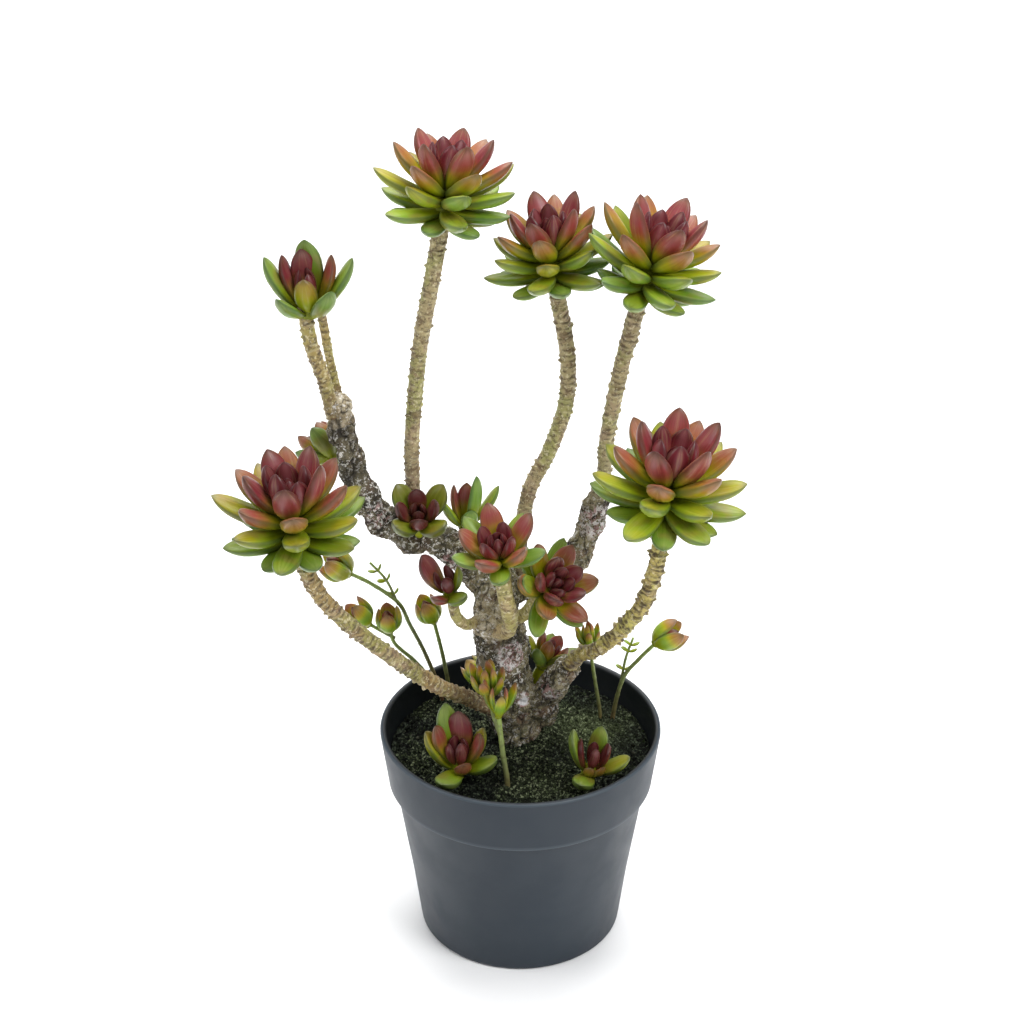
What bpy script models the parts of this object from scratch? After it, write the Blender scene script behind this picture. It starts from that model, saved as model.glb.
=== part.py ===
"""Potted echeveria: a branching plant with leaf rosettes in a plain plastic pot.

The origin is on the pot's axis at the height of the surface it stands on, +Z is up,
and the side that faces the viewer is -Y. Points and sizes are in millimetres, and MM
turns them into metres.
"""

import math
import random

import bmesh
import bpy
from mathutils import Matrix, Vector, noise
from mathutils.bvhtree import BVHTree

MM = 0.001

# Pot
RIM_R = 65.0
POT_H = 106.3
BAND_H = 27.5
BAND_FOOT_R = 61.6
BODY_TOP_R = 58.6
FOOT_R = 47.2
WALL = 2.6
LIP_ROUND = 1.0
FLOOR_H = 3.4
RECESS_H = 1.2
FOOT_RING_W = 4.0
CENTRE_PAD_R = 20.0
POT_SIDES = 28

# Soil
SOIL_TOP = 93.0
SOIL_MOUND = 2.0
SOIL_RELIEF = 0.7
SOIL_RINGS = 3
SOIL_LUMPS = 90

# Fits
GAP = 0.3
SOCKET_REACH = 14.0
SOIL_REACH = 34.0
SEAT_WALL = 1.8

# Distance between the points read from a smooth route
ROUTE_STEP = 3.0

# Bark: route points as x, y, z and radius
BARK_RES = 2
BARK_STEP = 10.0
BARK_RELIEF = 1.3
BARK_LUMPS = 110
PEG_TOP = 95.0
TRUNK = [
    (0, 8, 66, 9.0), (0, 8, 97, 9.0), (0, 8, 98.5, 11.5), (-3, 8, 108, 12.3), (-7, 6, 129, 12.3),
    (-9, 4, 147, 12.0), (-11, 3, 165, 10.5), (-10, 4, 180, 8.5), (-9, 6, 188, 5.0),
]
LEFT_LIMB = [
    (-10, 4, 168, 8.0), (-23, 6, 188, 7.4), (-37, 9, 198, 6.8), (-54, 10, 202, 6.8),
    (-67, 8, 216, 6.6), (-74, 6, 237, 6.2), (-78, 4, 256, 5.8), (-79, 4, 267, 5.4),
]
RIGHT_LIMB = [
    (-8, 5, 172, 8.0), (8, 12, 176, 7.4), (24, 18, 183, 6.6), (31, 20, 200, 6.0),
    (36, 20, 218, 5.8),
]
LOW_LIMB = [(0, 8, 100, 8.0), (10, 3, 118, 6.8), (22, -4, 140, 6.0)]
LIMBS = {"left_limb": LEFT_LIMB, "right_limb": RIGHT_LIMB, "low_limb": LOW_LIMB}
KNOBS = {
    "front": ((-15, -8, 165), (8.6, 8.2, 7.2)),
    "far_left": ((-79, 5, 267), (6.8, 9.5, 6.5)),
    "root": ((11, 10, 107), (8.0, 8.0, 9.0)),
}

# Ringed stems: route points from foot to top, with the radius at the foot and at the top
STEM_RES = 1
SPRIG_RES = 0
HOLE_RES = 1
HOLE_SIDES = 6
RING_PITCH = 8.4
RING_LIP = 0.8
RING_SWELL = 0.13
STEMS = {
    "top_left": ([(-49, 11, 203), (-48, 13, 222), (-48, 16, 245), (-44, 20, 286), (-38, 20, 319),
                  (-33, 20, 347)], 3.3, 3.6),
    "top_middle": ([(0, 10, 178), (0, 14, 196), (4, 20, 218), (13, 24, 236), (20, 26, 259),
                    (20, 26, 284), (14, 22, 319)], 3.3, 3.6),
    "top_right": ([(34, 20, 210), (37, 19, 226), (38, 18, 245), (43, 14, 279), (47, 10, 300),
                   (51, 8, 320)], 3.2, 3.6),
    "right": ([(19, -2, 134), (26, -7, 147), (38, -14, 158), (52, -24, 182), (58, -29, 205),
               (61, -31, 235)], 3.2, 3.6),
    "left": ([(-9, -2, 114), (-23, -10, 126), (-41, -20, 142), (-66, -30, 169), (-85, -34, 192),
              (-93, -36, 212), (-95, -36, 223)], 3.5, 3.6),
    "far_left": ([(-81, 1, 263), (-84, 1, 280), (-89, 0, 298), (-91, 0, 315)], 3.0, 3.2),
    "far_left_thin": ([(-78, 10, 264), (-82, 10, 285), (-84, 8, 303), (-85, 6, 314)], 1.9, 2.0),
    "crown_front": ([(-12, -9, 162), (-6, -18, 167), (-5, -24, 178), (-7, -28, 192),
                     (-9, -29, 211)], 3.4, 3.6),
    "crown_right": ([(-4, -2, 163), (2, -8, 170), (6, -11, 178), (9, -14, 186)], 3.0, 3.0),
    "crown_left": ([(-20, -9, 166), (-25, -17, 170), (-29, -21, 178), (-30, -22, 189)], 2.5, 2.6),
}

# Leaf: where it is widest along its length, its root's width there, and how it is shaped
LEAF_WIDEST = 0.55
LEAF_ROOT_SHARE = 0.34
LEAF_TIP_POWER = 3.2
LEAF_TIP_ROUND = 0.72
LEAF_SECTION = ((1.0, 0.10), (-1.0, 0.10), (0.0, -0.42))
LEAF_STATIONS = (0.0, 0.32, 0.80, 1.0)
SHORT_STATIONS = (0.0, 0.60, 1.0)
SHORT_LEAF = 22.0

# Rosette kinds: radius and height of the core, curl of the leaves, and rows of leaf count,
# elevation in degrees, length, width, height and radius of the root, and turn in degrees
KINDS = {
    "FULL": (6.2, 21.0, 0.10, [
        (6, -4, 23, 9.4, 3.4, 0.0, 0), (6, 2, 29, 10.2, 6.4, 0.0, 31),
        (7, 18, 30, 10.2, 9.6, 0.5, 70), (6, 34, 29, 10.4, 13.0, 1.0, 102),
        (5, 54, 26, 10.4, 16.0, 2.2, 139), (5, 70, 19, 8.8, 18.0, 2.4, 182),
        (2, 82, 13, 5.6, 19.0, 0.8, 234),
    ]),
    "CROWN_FRONT": (5.0, 12.0, 0.16, [
        (5, 20, 22, 8.4, 2.0, 0.0, -90), (5, 38, 22, 9.6, 4.0, 0.8, 28),
        (4, 62, 15, 7.6, 6.0, 1.6, 55), (4, 78, 11, 5.2, 7.0, 1.2, 10),
    ]),
    "CROWN_RIGHT": (5.2, 12.0, 0.16, [
        (6, 8, 22, 8.8, 2.0, 0.0, -100), (6, 26, 21, 9.4, 4.5, 0.5, 20),
        (5, 48, 16, 8.2, 7.0, 1.4, 45), (4, 66, 12, 6.4, 8.0, 1.6, 0), (2, 82, 9, 4.4, 8.5, 0.6, 40),
    ]),
    "CROWN_LEFT": (3.6, 7.0, 0.16, [
        (1, 66, 22, 10.8, 1.5, 1.5, 150), (1, 6, 12, 9.0, 1.0, 0.8, -58),
        (1, 52, 15, 7.0, 1.0, 1.0, 12), (1, 24, 12, 7.6, 0.0, 0.8, -130),
        (3, 68, 11, 5.8, 2.5, 1.6, 50),
    ]),
    "CUP": (4.0, 8.0, 0.14, [
        (5, 34, 18, 8.8, 1.0, 0.5, 0), (4, 60, 16, 8.0, 3.0, 1.8, 43), (3, 76, 11, 5.6, 4.5, 1.4, 80),
    ]),
    "LIMB_RED": (4.0, 8.0, 0.16, [
        (4, 34, 18, 9.6, 1.0, 0.5, 45), (4, 58, 14, 7.4, 3.0, 1.6, 5), (3, 78, 9, 4.8, 4.0, 1.0, 30),
    ]),
    "LIMB_GREEN": (3.6, 7.0, 0.12, [
        (1, 60, 13, 7.8, 0.5, 1.4, -74), (1, 74, 27, 8.4, 0.5, 1.4, -30),
        (1, 48, 23, 7.4, 0.5, 1.0, 8), (1, 70, 21, 6.6, 0.5, 1.2, 170),
        (1, 74, 19, 8.0, 1.0, 1.4, 95), (1, 52, 19, 7.4, 0.0, 1.0, 200),
    ]),
    "SOIL_LEFT": (4.4, 8.5, 0.16, [
        (1, 18, 17, 10.0, 1.0, 0.8, -112), (1, 28, 19, 9.0, 1.0, 0.8, -20),
        (1, 50, 22, 9.2, 1.0, 1.2, 172), (1, 66, 28, 9.6, 1.0, 1.2, 116),
        (1, 50, 20, 8.0, 1.0, 1.2, 24), (1, 62, 20, 8.6, 3.0, 1.8, 160),
        (1, 70, 25, 10.6, 3.0, 1.8, 76), (1, 56, 18, 8.6, 3.0, 1.8, 4),
        (1, 50, 12, 7.4, 2.0, 2.2, -72), (4, 76, 13, 5.6, 4.5, 1.6, 30),
    ]),
    "SOIL_RIGHT": (4.0, 8.0, 0.16, [
        (1, 60, 26, 8.4, 1.0, 0.8, 168), (1, 22, 15, 9.8, 1.0, 0.8, -114),
        (1, 42, 20, 8.4, 1.0, 0.8, -12), (1, 64, 24, 8.6, 1.0, 0.8, 68),
        (2, 66, 18, 6.6, 3.0, 2.0, 4), (2, 80, 14, 5.0, 4.5, 1.0, 92),
        (1, 58, 11, 5.4, 2.0, 2.4, -60), (1, 58, 10, 5.4, 2.0, 2.4, -104),
    ]),
    "TALL_CUP": (6.8, 8.0, 0.16, [
        (1, 52, 30, 10.2, 0.0, 3.0, 172), (1, 50, 30, 9.8, 0.0, 3.0, 8),
        (1, 40, 20, 9.8, 0.0, 3.0, -130), (1, 44, 21, 10.8, 0.0, 3.0, -46),
        (1, 76, 29, 10.8, 0.0, 3.0, 106), (1, 72, 28, 12.2, 2.0, 3.0, 74),
        (1, 64, 25, 8.4, 2.0, 3.0, 162), (1, 58, 24, 8.8, 2.0, 3.0, 20),
        (1, 62, 20, 9.8, 2.0, 3.0, -88), (3, 78, 15, 5.8, 4.0, 2.0, 60),
    ]),
    "BUD": (2.4, 5.0, 0.48, [(4, 48, 13, 8.4, 0.0, 0.8, 0), (2, 66, 10, 5.0, 1.0, 0.6, 40)]),
    "SPIKY_BUD": (2.1, 4.0, 0.24, [(6, 50, 14, 4.8, 0.0, 1.0, 0), (4, 70, 14, 4.4, 1.0, 0.8, 40)]),
    "TULIP_BUD": (1.8, 4.0, 0.22, [(3, 54, 17, 5.0, 0.0, 1.0, -90), (2, 72, 14, 4.0, 1.0, 0.8, 0)]),
}
ELEVATION_JITTER = 3.5
TURN_JITTER = 4.0
LENGTH_JITTER = 0.08

# Rosettes: foot point, lean of the axis, kind, size factor, turn in degrees
ROSETTES = {
    "top_left": ((-33, 20, 344), (0.12, -0.03, 1), "FULL", 1.03, 10),
    "top_middle": ((14, 22, 315), (-0.12, -0.06, 1), "FULL", 0.98, 40),
    "top_right": ((51, 8, 316), (0.27, -0.04, 1), "FULL", 1.07, 70),
    "right": ((60, -31, 231), (0.11, -0.17, 1), "FULL", 1.18, 25),
    "left": ((-95, -36, 219), (-0.06, -0.17, 1), "FULL", 1.15, 55),
    "far_left": ((-89, 2, 312), (-0.05, -0.2, 1), "TALL_CUP", 1.0, 0),
    "crown_front": ((-9, -29, 207), (-0.1, -0.4, 1), "CROWN_FRONT", 1.07, 0),
    "crown_right": ((10, -13, 184), (0.5, -0.75, 0.8), "CROWN_RIGHT", 1.08, 0),
    "crown_left": ((-31, -22, 188), (-0.25, -0.2, 1), "CROWN_LEFT", 1.0, 0),
}
# Rosettes on a short stalk of their own: the same, with the stalk's length at the end
STALKED = {
    "limb_red": ((-45, 2, 210), (0.0, -0.6, 1), "LIMB_RED", 1.14, 0, 8.0),
    "limb_green": ((-25, 15, 202), (0.05, -0.1, 1), "LIMB_GREEN", 1.0, 0, 11.0),
    "limb_back": ((-82, 14, 236), (-0.7, 0.6, 0.6), "CUP", 1.0, 0, 9.0),
    "trunk_right": ((10, 14, 129), (0.45, 0.0, 1), "CUP", 0.9, 20, 11.0),
    "trunk_left": ((-17, 15.5, 120), (-0.7, 0.6, 0.5), "BUD", 0.9, 10, 9.0),
    "soil_left": ((-28, -27, 99), (-0.03, -0.25, 1), "SOIL_LEFT", 1.14, 0, 15.0),
    "soil_right": ((31, -30, 99), (0.12, -0.3, 1), "SOIL_RIGHT", 1.05, 0, 15.0),
}
STALK_R = 2.4
STALK_SINK = 2.0
RED_ROSETTES = ("limb_red", "crown_front")

# Core that the leaves of a rosette stand out of
CORE_SIDES = 6
CORE_TAPER = 0.55
CORE_SINK = 1.5

# Sprigs: thin stems as routes with radii, buds as foot, lean, kind, size and turn, twig leaves
SPRIGS = {
    "left": {
        "stems": [
            ([(-37, 39, 78), (-38, 40, 96), (-45, 41, 118), (-52, 36, 138), (-57, 31, 153),
              (-69, 26, 166), (-80, 23, 174)], 1.1, 0.9),
            ([(-41, 40, 103), (-50, 34, 119), (-59, 29, 132), (-61, 28, 142)], 1.0, 0.9),
            ([(-59, 29, 135), (-65, 27, 140), (-72, 25, 146)], 0.9, 0.8),
            ([(-57, 31, 152), (-62, 29, 166), (-69, 26, 177)], 0.7, 0.6),
        ],
        "buds": [
            ((-79, 23, 173), (-0.8, -0.2, 0.8), "BUD", 1.1, 10),
            ((-71, 25, 145), (-0.6, -0.1, 0.8), "BUD", 0.95, 40),
            ((-61, 28, 140), (-0.1, -0.1, 1), "BUD", 0.95, 0),
        ],
        "twig": [(-59, 30, 158), (-62, 29, 166), (-66, 27, 172), (-69, 26, 177)],
    },
    "left_short": {
        "stems": [([(-33, 43, 78), (-34, 43, 95), (-37, 41, 118), (-41, 38, 140)], 1.1, 0.9)],
        "buds": [((-41, 38, 139), (-0.4, -0.1, 1), "BUD", 1.0, 20)],
        "twig": [],
    },
    "front": {
        "stems": [
            ([(-6, -33, 78), (-6, -33, 96), (-8, -33, 112), (-10, -31, 132)], 1.3, 1.1),
            ([(-8, -32, 117), (-12, -26, 127), (-14, -22, 137)], 1.0, 1.0),
        ],
        "buds": [
            ((-10, -31, 131), (0.05, -0.1, 1), "TULIP_BUD", 1.0, 0),
            ((-14, -22, 136), (-0.1, -0.1, 1), "SPIKY_BUD", 1.1, 20),
        ],
        "twig": [],
    },
    "right_short": {
        "stems": [([(38, 24, 78), (38, 24, 95), (35, 21, 117), (32, 18, 138)], 0.9, 0.8)],
        "buds": [((32, 18, 137), (-0.1, 0, 1), "SPIKY_BUD", 0.8, 30)],
        "twig": [],
    },
    "right": {
        "stems": [
            ([(44, 23, 78), (44, 23, 95), (48, 17, 120), (55, 12, 134), (63, 8, 146)], 1.1, 0.9),
            ([(47, 18, 117), (49, 16, 132), (52, 14, 144)], 0.7, 0.6),
        ],
        "buds": [((62, 8, 145), (0.9, -0.1, 0.7), "BUD", 1.05, 0)],
        "twig": [(48, 17, 125), (50, 15, 136), (51, 14, 140), (52, 14, 144)],
    },
}
TWIG_LEAF = (4.5, 2.4, 0.1)
SPRIG_STEP = 16.0

# Colour, roughness and metallic value
PLASTIC = ((0.075, 0.085, 0.098, 1), 0.55, 0.0)
EARTH = ((0.012, 0.014, 0.010, 1), 0.95, 0.0)
BARK = ((0.10, 0.075, 0.06, 1), 0.85, 0.0)
RINGED = ((0.30, 0.26, 0.13, 1), 0.6, 0.0)
LEAF = ((0.20, 0.25, 0.06, 1), 0.35, 0.0)
LEAF_RED = ((0.22, 0.05, 0.05, 1), 0.35, 0.0)
SPRIG_GREEN = ((0.28, 0.30, 0.05, 1), 0.4, 0.0)


def clear_scene():
    for thing in list(bpy.data.objects):
        bpy.data.objects.remove(thing, do_unlink=True)


def new_collection(name, hidden=False):
    group = bpy.data.collections.new(name)
    bpy.context.scene.collection.children.link(group)
    group.hide_render = hidden
    return group


def material(name, look):
    colour, roughness, metallic = look
    mat = bpy.data.materials.new(name)
    mat.use_nodes = True
    shader = mat.node_tree.nodes["Principled BSDF"]
    shader.inputs["Base Color"].default_value = colour
    shader.inputs["Roughness"].default_value = roughness
    shader.inputs["Metallic"].default_value = metallic
    return mat


def add_object(name, mesh, group):
    thing = bpy.data.objects.new(name, mesh)
    group.objects.link(thing)
    return thing


def finish_part(thing, look):
    thing.data.materials.clear()
    thing.data.materials.append(material(thing.name, look))
    thing.data.shade_smooth()
    thing.data.set_sharp_from_angle(angle=math.radians(40))


def as_cutter(thing):
    thing.hide_render = True
    thing.display_type = "WIRE"


def keep_largest_body(mesh):
    """Drop the loose scraps that a cut leaves."""
    bm = bmesh.new()
    bm.from_mesh(mesh)
    left = set(bm.verts)
    bodies = []
    while left:
        body = {left.pop()}
        edge = list(body)
        while edge:
            near = {e.other_vert(v) for v in edge for e in v.link_edges} - body
            body |= near
            edge = list(near)
        left -= body
        bodies.append(body)
    bodies.sort(key=len)
    scraps = [v for body in bodies[:-1] for v in body]
    bmesh.ops.delete(bm, geom=scraps, context="VERTS")
    bm.to_mesh(mesh)
    bm.free()


def evaluated_mesh(thing):
    bpy.context.view_layer.update()
    graph = bpy.context.evaluated_depsgraph_get()
    return bpy.data.meshes.new_from_object(thing.evaluated_get(graph))


def apply_modifiers(thing):
    mesh = evaluated_mesh(thing)
    thing.modifiers.clear()
    thing.data = mesh


def weld(mesh):
    bm = bmesh.new()
    bm.from_mesh(mesh)
    bmesh.ops.remove_doubles(bm, verts=bm.verts, dist=0.00001)
    bmesh.ops.recalc_face_normals(bm, faces=bm.faces)
    bm.to_mesh(mesh)
    bm.free()


def surface_tree(mesh):
    """Search tree of a mesh that is already in world space."""
    return BVHTree.FromPolygons([v.co for v in mesh.vertices], [p.vertices for p in mesh.polygons])


def smooth_route(points, step):
    """Points about one step apart on a smooth curve through the given points."""
    points = [Vector(p) for p in points]
    ends = [2 * points[0] - points[1]] + points + [2 * points[-1] - points[-2]]
    route = []
    for k in range(1, len(ends) - 2):
        before, start, end, after = ends[k - 1:k + 3]
        count = max(1, round((end - start).length / step))
        for i in range(count):
            t = i / count
            route.append(0.5 * (2 * start + (end - before) * t
                                + (2 * before - 5 * start + 4 * end - after) * t * t
                                + (3 * start - before - 3 * end + after) * t ** 3))
    route.append(points[-1])
    return route


def lengths_along(route):
    total = [0.0]
    for start, end in zip(route, route[1:]):
        total.append(total[-1] + (end - start).length)
    return total


def point_at(route, total, s):
    """Point on the route at distance s from its start."""
    for k in range(len(route) - 1):
        if s <= total[k + 1] or k == len(route) - 2:
            share = (s - total[k]) / (total[k + 1] - total[k])
            return route[k].lerp(route[k + 1], share)


def tube(name, points, radii, group, resolution):
    """Closed mesh tube along the points, with a radius at each point."""
    curve = bpy.data.curves.new(name, "CURVE")
    curve.dimensions = "3D"
    curve.bevel_depth = MM
    curve.bevel_resolution = resolution
    curve.use_fill_caps = True
    spline = curve.splines.new("POLY")
    spline.points.add(len(points) - 1)
    for place, point, radius in zip(spline.points, points, radii):
        place.co = (*(Vector(point) * MM), 1.0)
        place.radius = radius
    guide = add_object(name + "_curve", curve, group)
    mesh = evaluated_mesh(guide)
    bpy.data.objects.remove(guide)
    weld(mesh)
    return add_object(name, mesh, group)


def join_all(base, others_group, solver="EXACT"):
    """Union of the base with everything in the group, whose objects are then removed."""
    union = base.modifiers.new("union", "BOOLEAN")
    union.operation = "UNION"
    union.operand_type = "COLLECTION"
    union.collection = others_group
    union.solver = solver
    apply_modifiers(base)
    for thing in list(others_group.objects):
        bpy.data.objects.remove(thing, do_unlink=True)
    bpy.data.collections.remove(others_group)


def cut(thing, cutter):
    hole = thing.modifiers.new(cutter.name, "BOOLEAN")
    hole.operation = "DIFFERENCE"
    hole.object = cutter


def leaf_width(t):
    """Half width at t along the leaf, as a share of the widest half width."""
    if t < LEAF_WIDEST:
        return LEAF_ROOT_SHARE + (1 - LEAF_ROOT_SHARE) * math.sin(0.5 * math.pi * t / LEAF_WIDEST)
    fall = 1 - ((t - LEAF_WIDEST) / (1 - LEAF_WIDEST)) ** LEAF_TIP_POWER
    return fall ** LEAF_TIP_ROUND


def leaf_mesh(length, width, curl, stations):
    """Fleshy leaf along +X that curls up towards its upper face at +Z, drawn out of a small ball."""
    bm = bmesh.new()
    rings = len(stations) - 1
    corners = len(LEAF_SECTION)
    bmesh.ops.create_uvsphere(bm, u_segments=corners, v_segments=rings, radius=1.0)
    for vert in bm.verts:
        t = stations[round(math.acos(max(-1.0, min(1.0, -vert.co.z))) / math.pi * rings)]
        corner = round(math.atan2(vert.co.y, vert.co.x) / (2 * math.pi) * corners) % corners
        side, rise = LEAF_SECTION[corner]
        across = width * leaf_width(t) if 0 < t < 1 else 0.0
        vert.co = (length * t, 0.5 * across * side, across * rise + curl * length * t * t)
    bmesh.ops.recalc_face_normals(bm, faces=bm.faces)
    mesh = bpy.data.meshes.new("leaf")
    bm.to_mesh(mesh)
    bm.free()
    return mesh


def axis_frame(foot, lean):
    """Frame whose +Z leans as given, at the foot."""
    turn = Vector((0, 0, 1)).rotation_difference(Vector(lean).normalized())
    return Matrix.Translation(Vector(foot)) @ turn.to_matrix().to_4x4()


def leaf_frame(elevation, azimuth, height, out):
    """Frame of one leaf in its rosette: +X out along the leaf, +Z its upper face."""
    return (Matrix.Rotation(azimuth, 4, "Z") @ Matrix.Translation((out, 0, height))
            @ Matrix.Rotation(-elevation, 4, "Y"))


def leaf_plan(rows, size, turn, seed):
    """Every leaf of a rosette: elevation and azimuth, length, width, root height and radius."""
    draw = random.Random(seed)
    for count, elevation, length, width, height, out, row_turn in rows:
        for k in range(count):
            yield (math.radians(elevation + draw.uniform(-ELEVATION_JITTER, ELEVATION_JITTER)),
                   2 * math.pi * k / count
                   + math.radians(turn + row_turn + draw.uniform(-TURN_JITTER, TURN_JITTER)),
                   size * length * (1 + draw.uniform(-LENGTH_JITTER, LENGTH_JITTER)),
                   size * width, size * height, size * out)


# How far a leaf may be bent to keep clear of its neighbours, as elevation and length changes
BENDS = [(0, 1.0), (12, 1.0), (-12, 1.0), (24, 1.0), (-24, 1.0), (24, 0.8), (-24, 0.8),
         (36, 0.8), (0, 0.7), (36, 0.6), (0, 0.5)]
BEND_MARGIN = 0.9


def place_leaf(frame, leaf, curl, obstacles):
    """Mesh of one leaf, bent until it is clear of the obstacles, or None if it never is."""
    elevation, azimuth, length, width, height, out = leaf
    stations = SHORT_STATIONS if length < SHORT_LEAF else LEAF_STATIONS
    for raised, share in BENDS:
        matrix = frame @ leaf_frame(elevation + math.radians(raised), azimuth, height, out)
        probe = leaf_mesh(length * share + BEND_MARGIN, width * share + BEND_MARGIN, curl,
                          LEAF_STATIONS)
        probe.transform(Matrix.Scale(MM, 4) @ matrix)
        tree = surface_tree(probe)
        bpy.data.meshes.remove(probe)
        if any(tree.overlap(other) for other in obstacles):
            continue
        mesh = leaf_mesh(length * share, width * share, curl, stations)
        mesh.transform(Matrix.Scale(MM, 4) @ matrix)
        return mesh
    return None


def core_object(name, frame, radius, height, group):
    """Smaller core that the leaves stand out of."""
    bm = bmesh.new()
    bmesh.ops.create_cone(bm, cap_ends=True, segments=CORE_SIDES, radius1=radius,
                          radius2=CORE_TAPER * radius, depth=height,
                          matrix=Matrix.Translation((0, 0, 0.5 * height - CORE_SINK)))
    mesh = bpy.data.meshes.new(name)
    bm.to_mesh(mesh)
    bm.free()
    mesh.transform(Matrix.Scale(MM, 4) @ frame)
    return add_object(name, mesh, group)


def rosette_bodies(name, foot, lean, kind, size, turn, obstacles, group, least_core=0.0):
    """Core of a rosette in the parts group, with its leaves waiting in a group of their own."""
    core_radius, core_height, curl, rows = KINDS[kind]
    frame = axis_frame(foot, lean)
    core = core_object(name, frame, max(size * core_radius, least_core), size * core_height, group)
    leaves = new_collection(name + "_leaves")
    for leaf in leaf_plan(rows, size, turn, name):
        mesh = place_leaf(frame, leaf, curl, obstacles)
        if mesh:
            add_object(name + "_leaf", mesh, leaves)
    return core, leaves


def turned(name, profile, sides, group):
    """Solid turned about +Z from a profile that runs up the inside and down the outside."""
    mesh = bpy.data.meshes.new(name)
    mesh.from_pydata([(x * MM, 0, z * MM) for x, z in profile],
                     [(k, k + 1) for k in range(len(profile) - 1)], [])
    thing = add_object(name, mesh, group)
    screw = thing.modifiers.new("turn", "SCREW")
    screw.steps = sides
    screw.render_steps = sides
    screw.use_merge_vertices = True
    screw.merge_threshold = 0.00001
    return thing


def pot_outer_radius(z):
    """Outer radius of the rim band at height z."""
    return BAND_FOOT_R + (RIM_R - BAND_FOOT_R) * (z - POT_H + BAND_H) / BAND_H


def make_pot(group):
    profile = [
        (0, FLOOR_H), (FOOT_R - WALL, FLOOR_H),
        (BODY_TOP_R - WALL, POT_H - BAND_H - 2.0), (BAND_FOOT_R - WALL, POT_H - BAND_H + 2.0),
        (RIM_R - WALL, POT_H - LIP_ROUND), (RIM_R - WALL + 0.6 * LIP_ROUND, POT_H),
        (RIM_R - 0.6 * LIP_ROUND, POT_H), (RIM_R, POT_H - LIP_ROUND),
        (BAND_FOOT_R, POT_H - BAND_H + 0.8), (BAND_FOOT_R - 0.8, POT_H - BAND_H),
        (BODY_TOP_R, POT_H - BAND_H - 1.0), (FOOT_R + 0.5, 3.0), (FOOT_R - 0.8, 0.6),
        (FOOT_R - 1.8, 0), (FOOT_R - FOOT_RING_W - 1.0, 0),
        (FOOT_R - FOOT_RING_W - 2.0, RECESS_H), (CENTRE_PAD_R + 1.0, RECESS_H),
        (CENTRE_PAD_R, 0), (0, 0),
    ]
    pot = turned("pot", profile, POT_SIDES, group)
    apply_modifiers(pot)
    return pot


def make_soil(group):
    side = WALL + GAP
    edge = pot_outer_radius(SOIL_TOP) - side
    top = [(edge * k / SOIL_RINGS, SOIL_TOP + SOIL_MOUND * (1 - (k / SOIL_RINGS) ** 2))
           for k in range(SOIL_RINGS + 1)]
    profile = top + [
        (BAND_FOOT_R - side, POT_H - BAND_H + 2.0), (BODY_TOP_R - side, POT_H - BAND_H - 2.0),
        (FOOT_R - side, FLOOR_H + GAP), (0, FLOOR_H + GAP),
    ]
    soil = turned("soil", profile, POT_SIDES, group)
    apply_modifiers(soil)
    for vert in soil.data.vertices:
        if vert.co.z > (SOIL_TOP + 0.05) * MM and vert.co.xy.length > MM:
            vert.co.z += SOIL_RELIEF * MM * noise.noise(vert.co * SOIL_LUMPS)
    return soil


def bark_tube(name, points, group):
    """Lumpy bark along a route whose points carry a radius."""
    route = smooth_route([p[:3] for p in points], BARK_STEP)
    total = lengths_along(route)
    stops = [0.0]
    for start, end in zip(points, points[1:]):
        stops.append(stops[-1] + (Vector(end[:3]) - Vector(start[:3])).length)
    scale = stops[-1] / total[-1]
    radii = []
    for s in total:
        k = max(i for i in range(len(stops) - 1) if stops[i] <= s * scale + 0.001)
        share = min(1.0, (s * scale - stops[k]) / (stops[k + 1] - stops[k]))
        radii.append(points[k][3] + share * (points[k + 1][3] - points[k][3]))
    thing = tube(name, route, radii, group, BARK_RES)
    for vert in thing.data.vertices:
        if vert.co.z > PEG_TOP * MM:
            vert.co += vert.normal * BARK_RELIEF * MM * noise.noise(vert.co * BARK_LUMPS)
    return thing


def knob(name, centre, radii, group):
    """Round lump of bark."""
    bm = bmesh.new()
    bmesh.ops.create_uvsphere(bm, u_segments=8, v_segments=5, radius=1.0)
    mesh = bpy.data.meshes.new(name)
    bm.to_mesh(mesh)
    bm.free()
    mesh.transform(Matrix.Scale(MM, 4) @ Matrix.Translation(centre)
                   @ Matrix.Diagonal((*radii, 1.0)))
    return add_object(name, mesh, group)


def make_trunk(group):
    trunk = bark_tube("trunk", TRUNK, group)
    limbs = new_collection("limbs")
    for name, route in LIMBS.items():
        bark_tube(name, route, limbs)
    for name, (centre, radii) in KNOBS.items():
        knob(name + "_knob", centre, radii, limbs)
    join_all(trunk, limbs, "MANIFOLD")
    return trunk


def ringed_stops(points, foot_radius, top_radius):
    """Points and radii of a stem with a ring scar at each pitch."""
    route = smooth_route(points, ROUTE_STEP)
    total = lengths_along(route)
    count = round(total[-1] / RING_PITCH)
    pitch = total[-1] / count
    places, radii = [], []
    for k in range(count):
        radius = foot_radius + (top_radius - foot_radius) * k / count
        places.append(point_at(route, total, k * pitch))
        radii.append(radius)
        places.append(point_at(route, total, (k + 1) * pitch - RING_LIP))
        radii.append(radius * (1 + RING_SWELL))
    places.append(route[-1])
    radii.append(top_radius)
    return places, radii


def hole_cutter(name, points, radius, group, reach=SOCKET_REACH):
    """Plain hole around the first stretch of a route, GAP clear of it all round."""
    route = smooth_route(points, ROUTE_STEP)
    total = lengths_along(route)
    reach = min(reach, total[-1])
    places = [point_at(route, total, share * reach) for share in (0, 0.5, 1)]
    places[0] = places[0] + (route[0] - route[1]).normalized() * GAP
    flats = (radius + GAP) / math.cos(math.pi / HOLE_SIDES)
    cutter = tube(name, places, [flats] * len(places), group, HOLE_RES)
    as_cutter(cutter)
    return cutter


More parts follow.
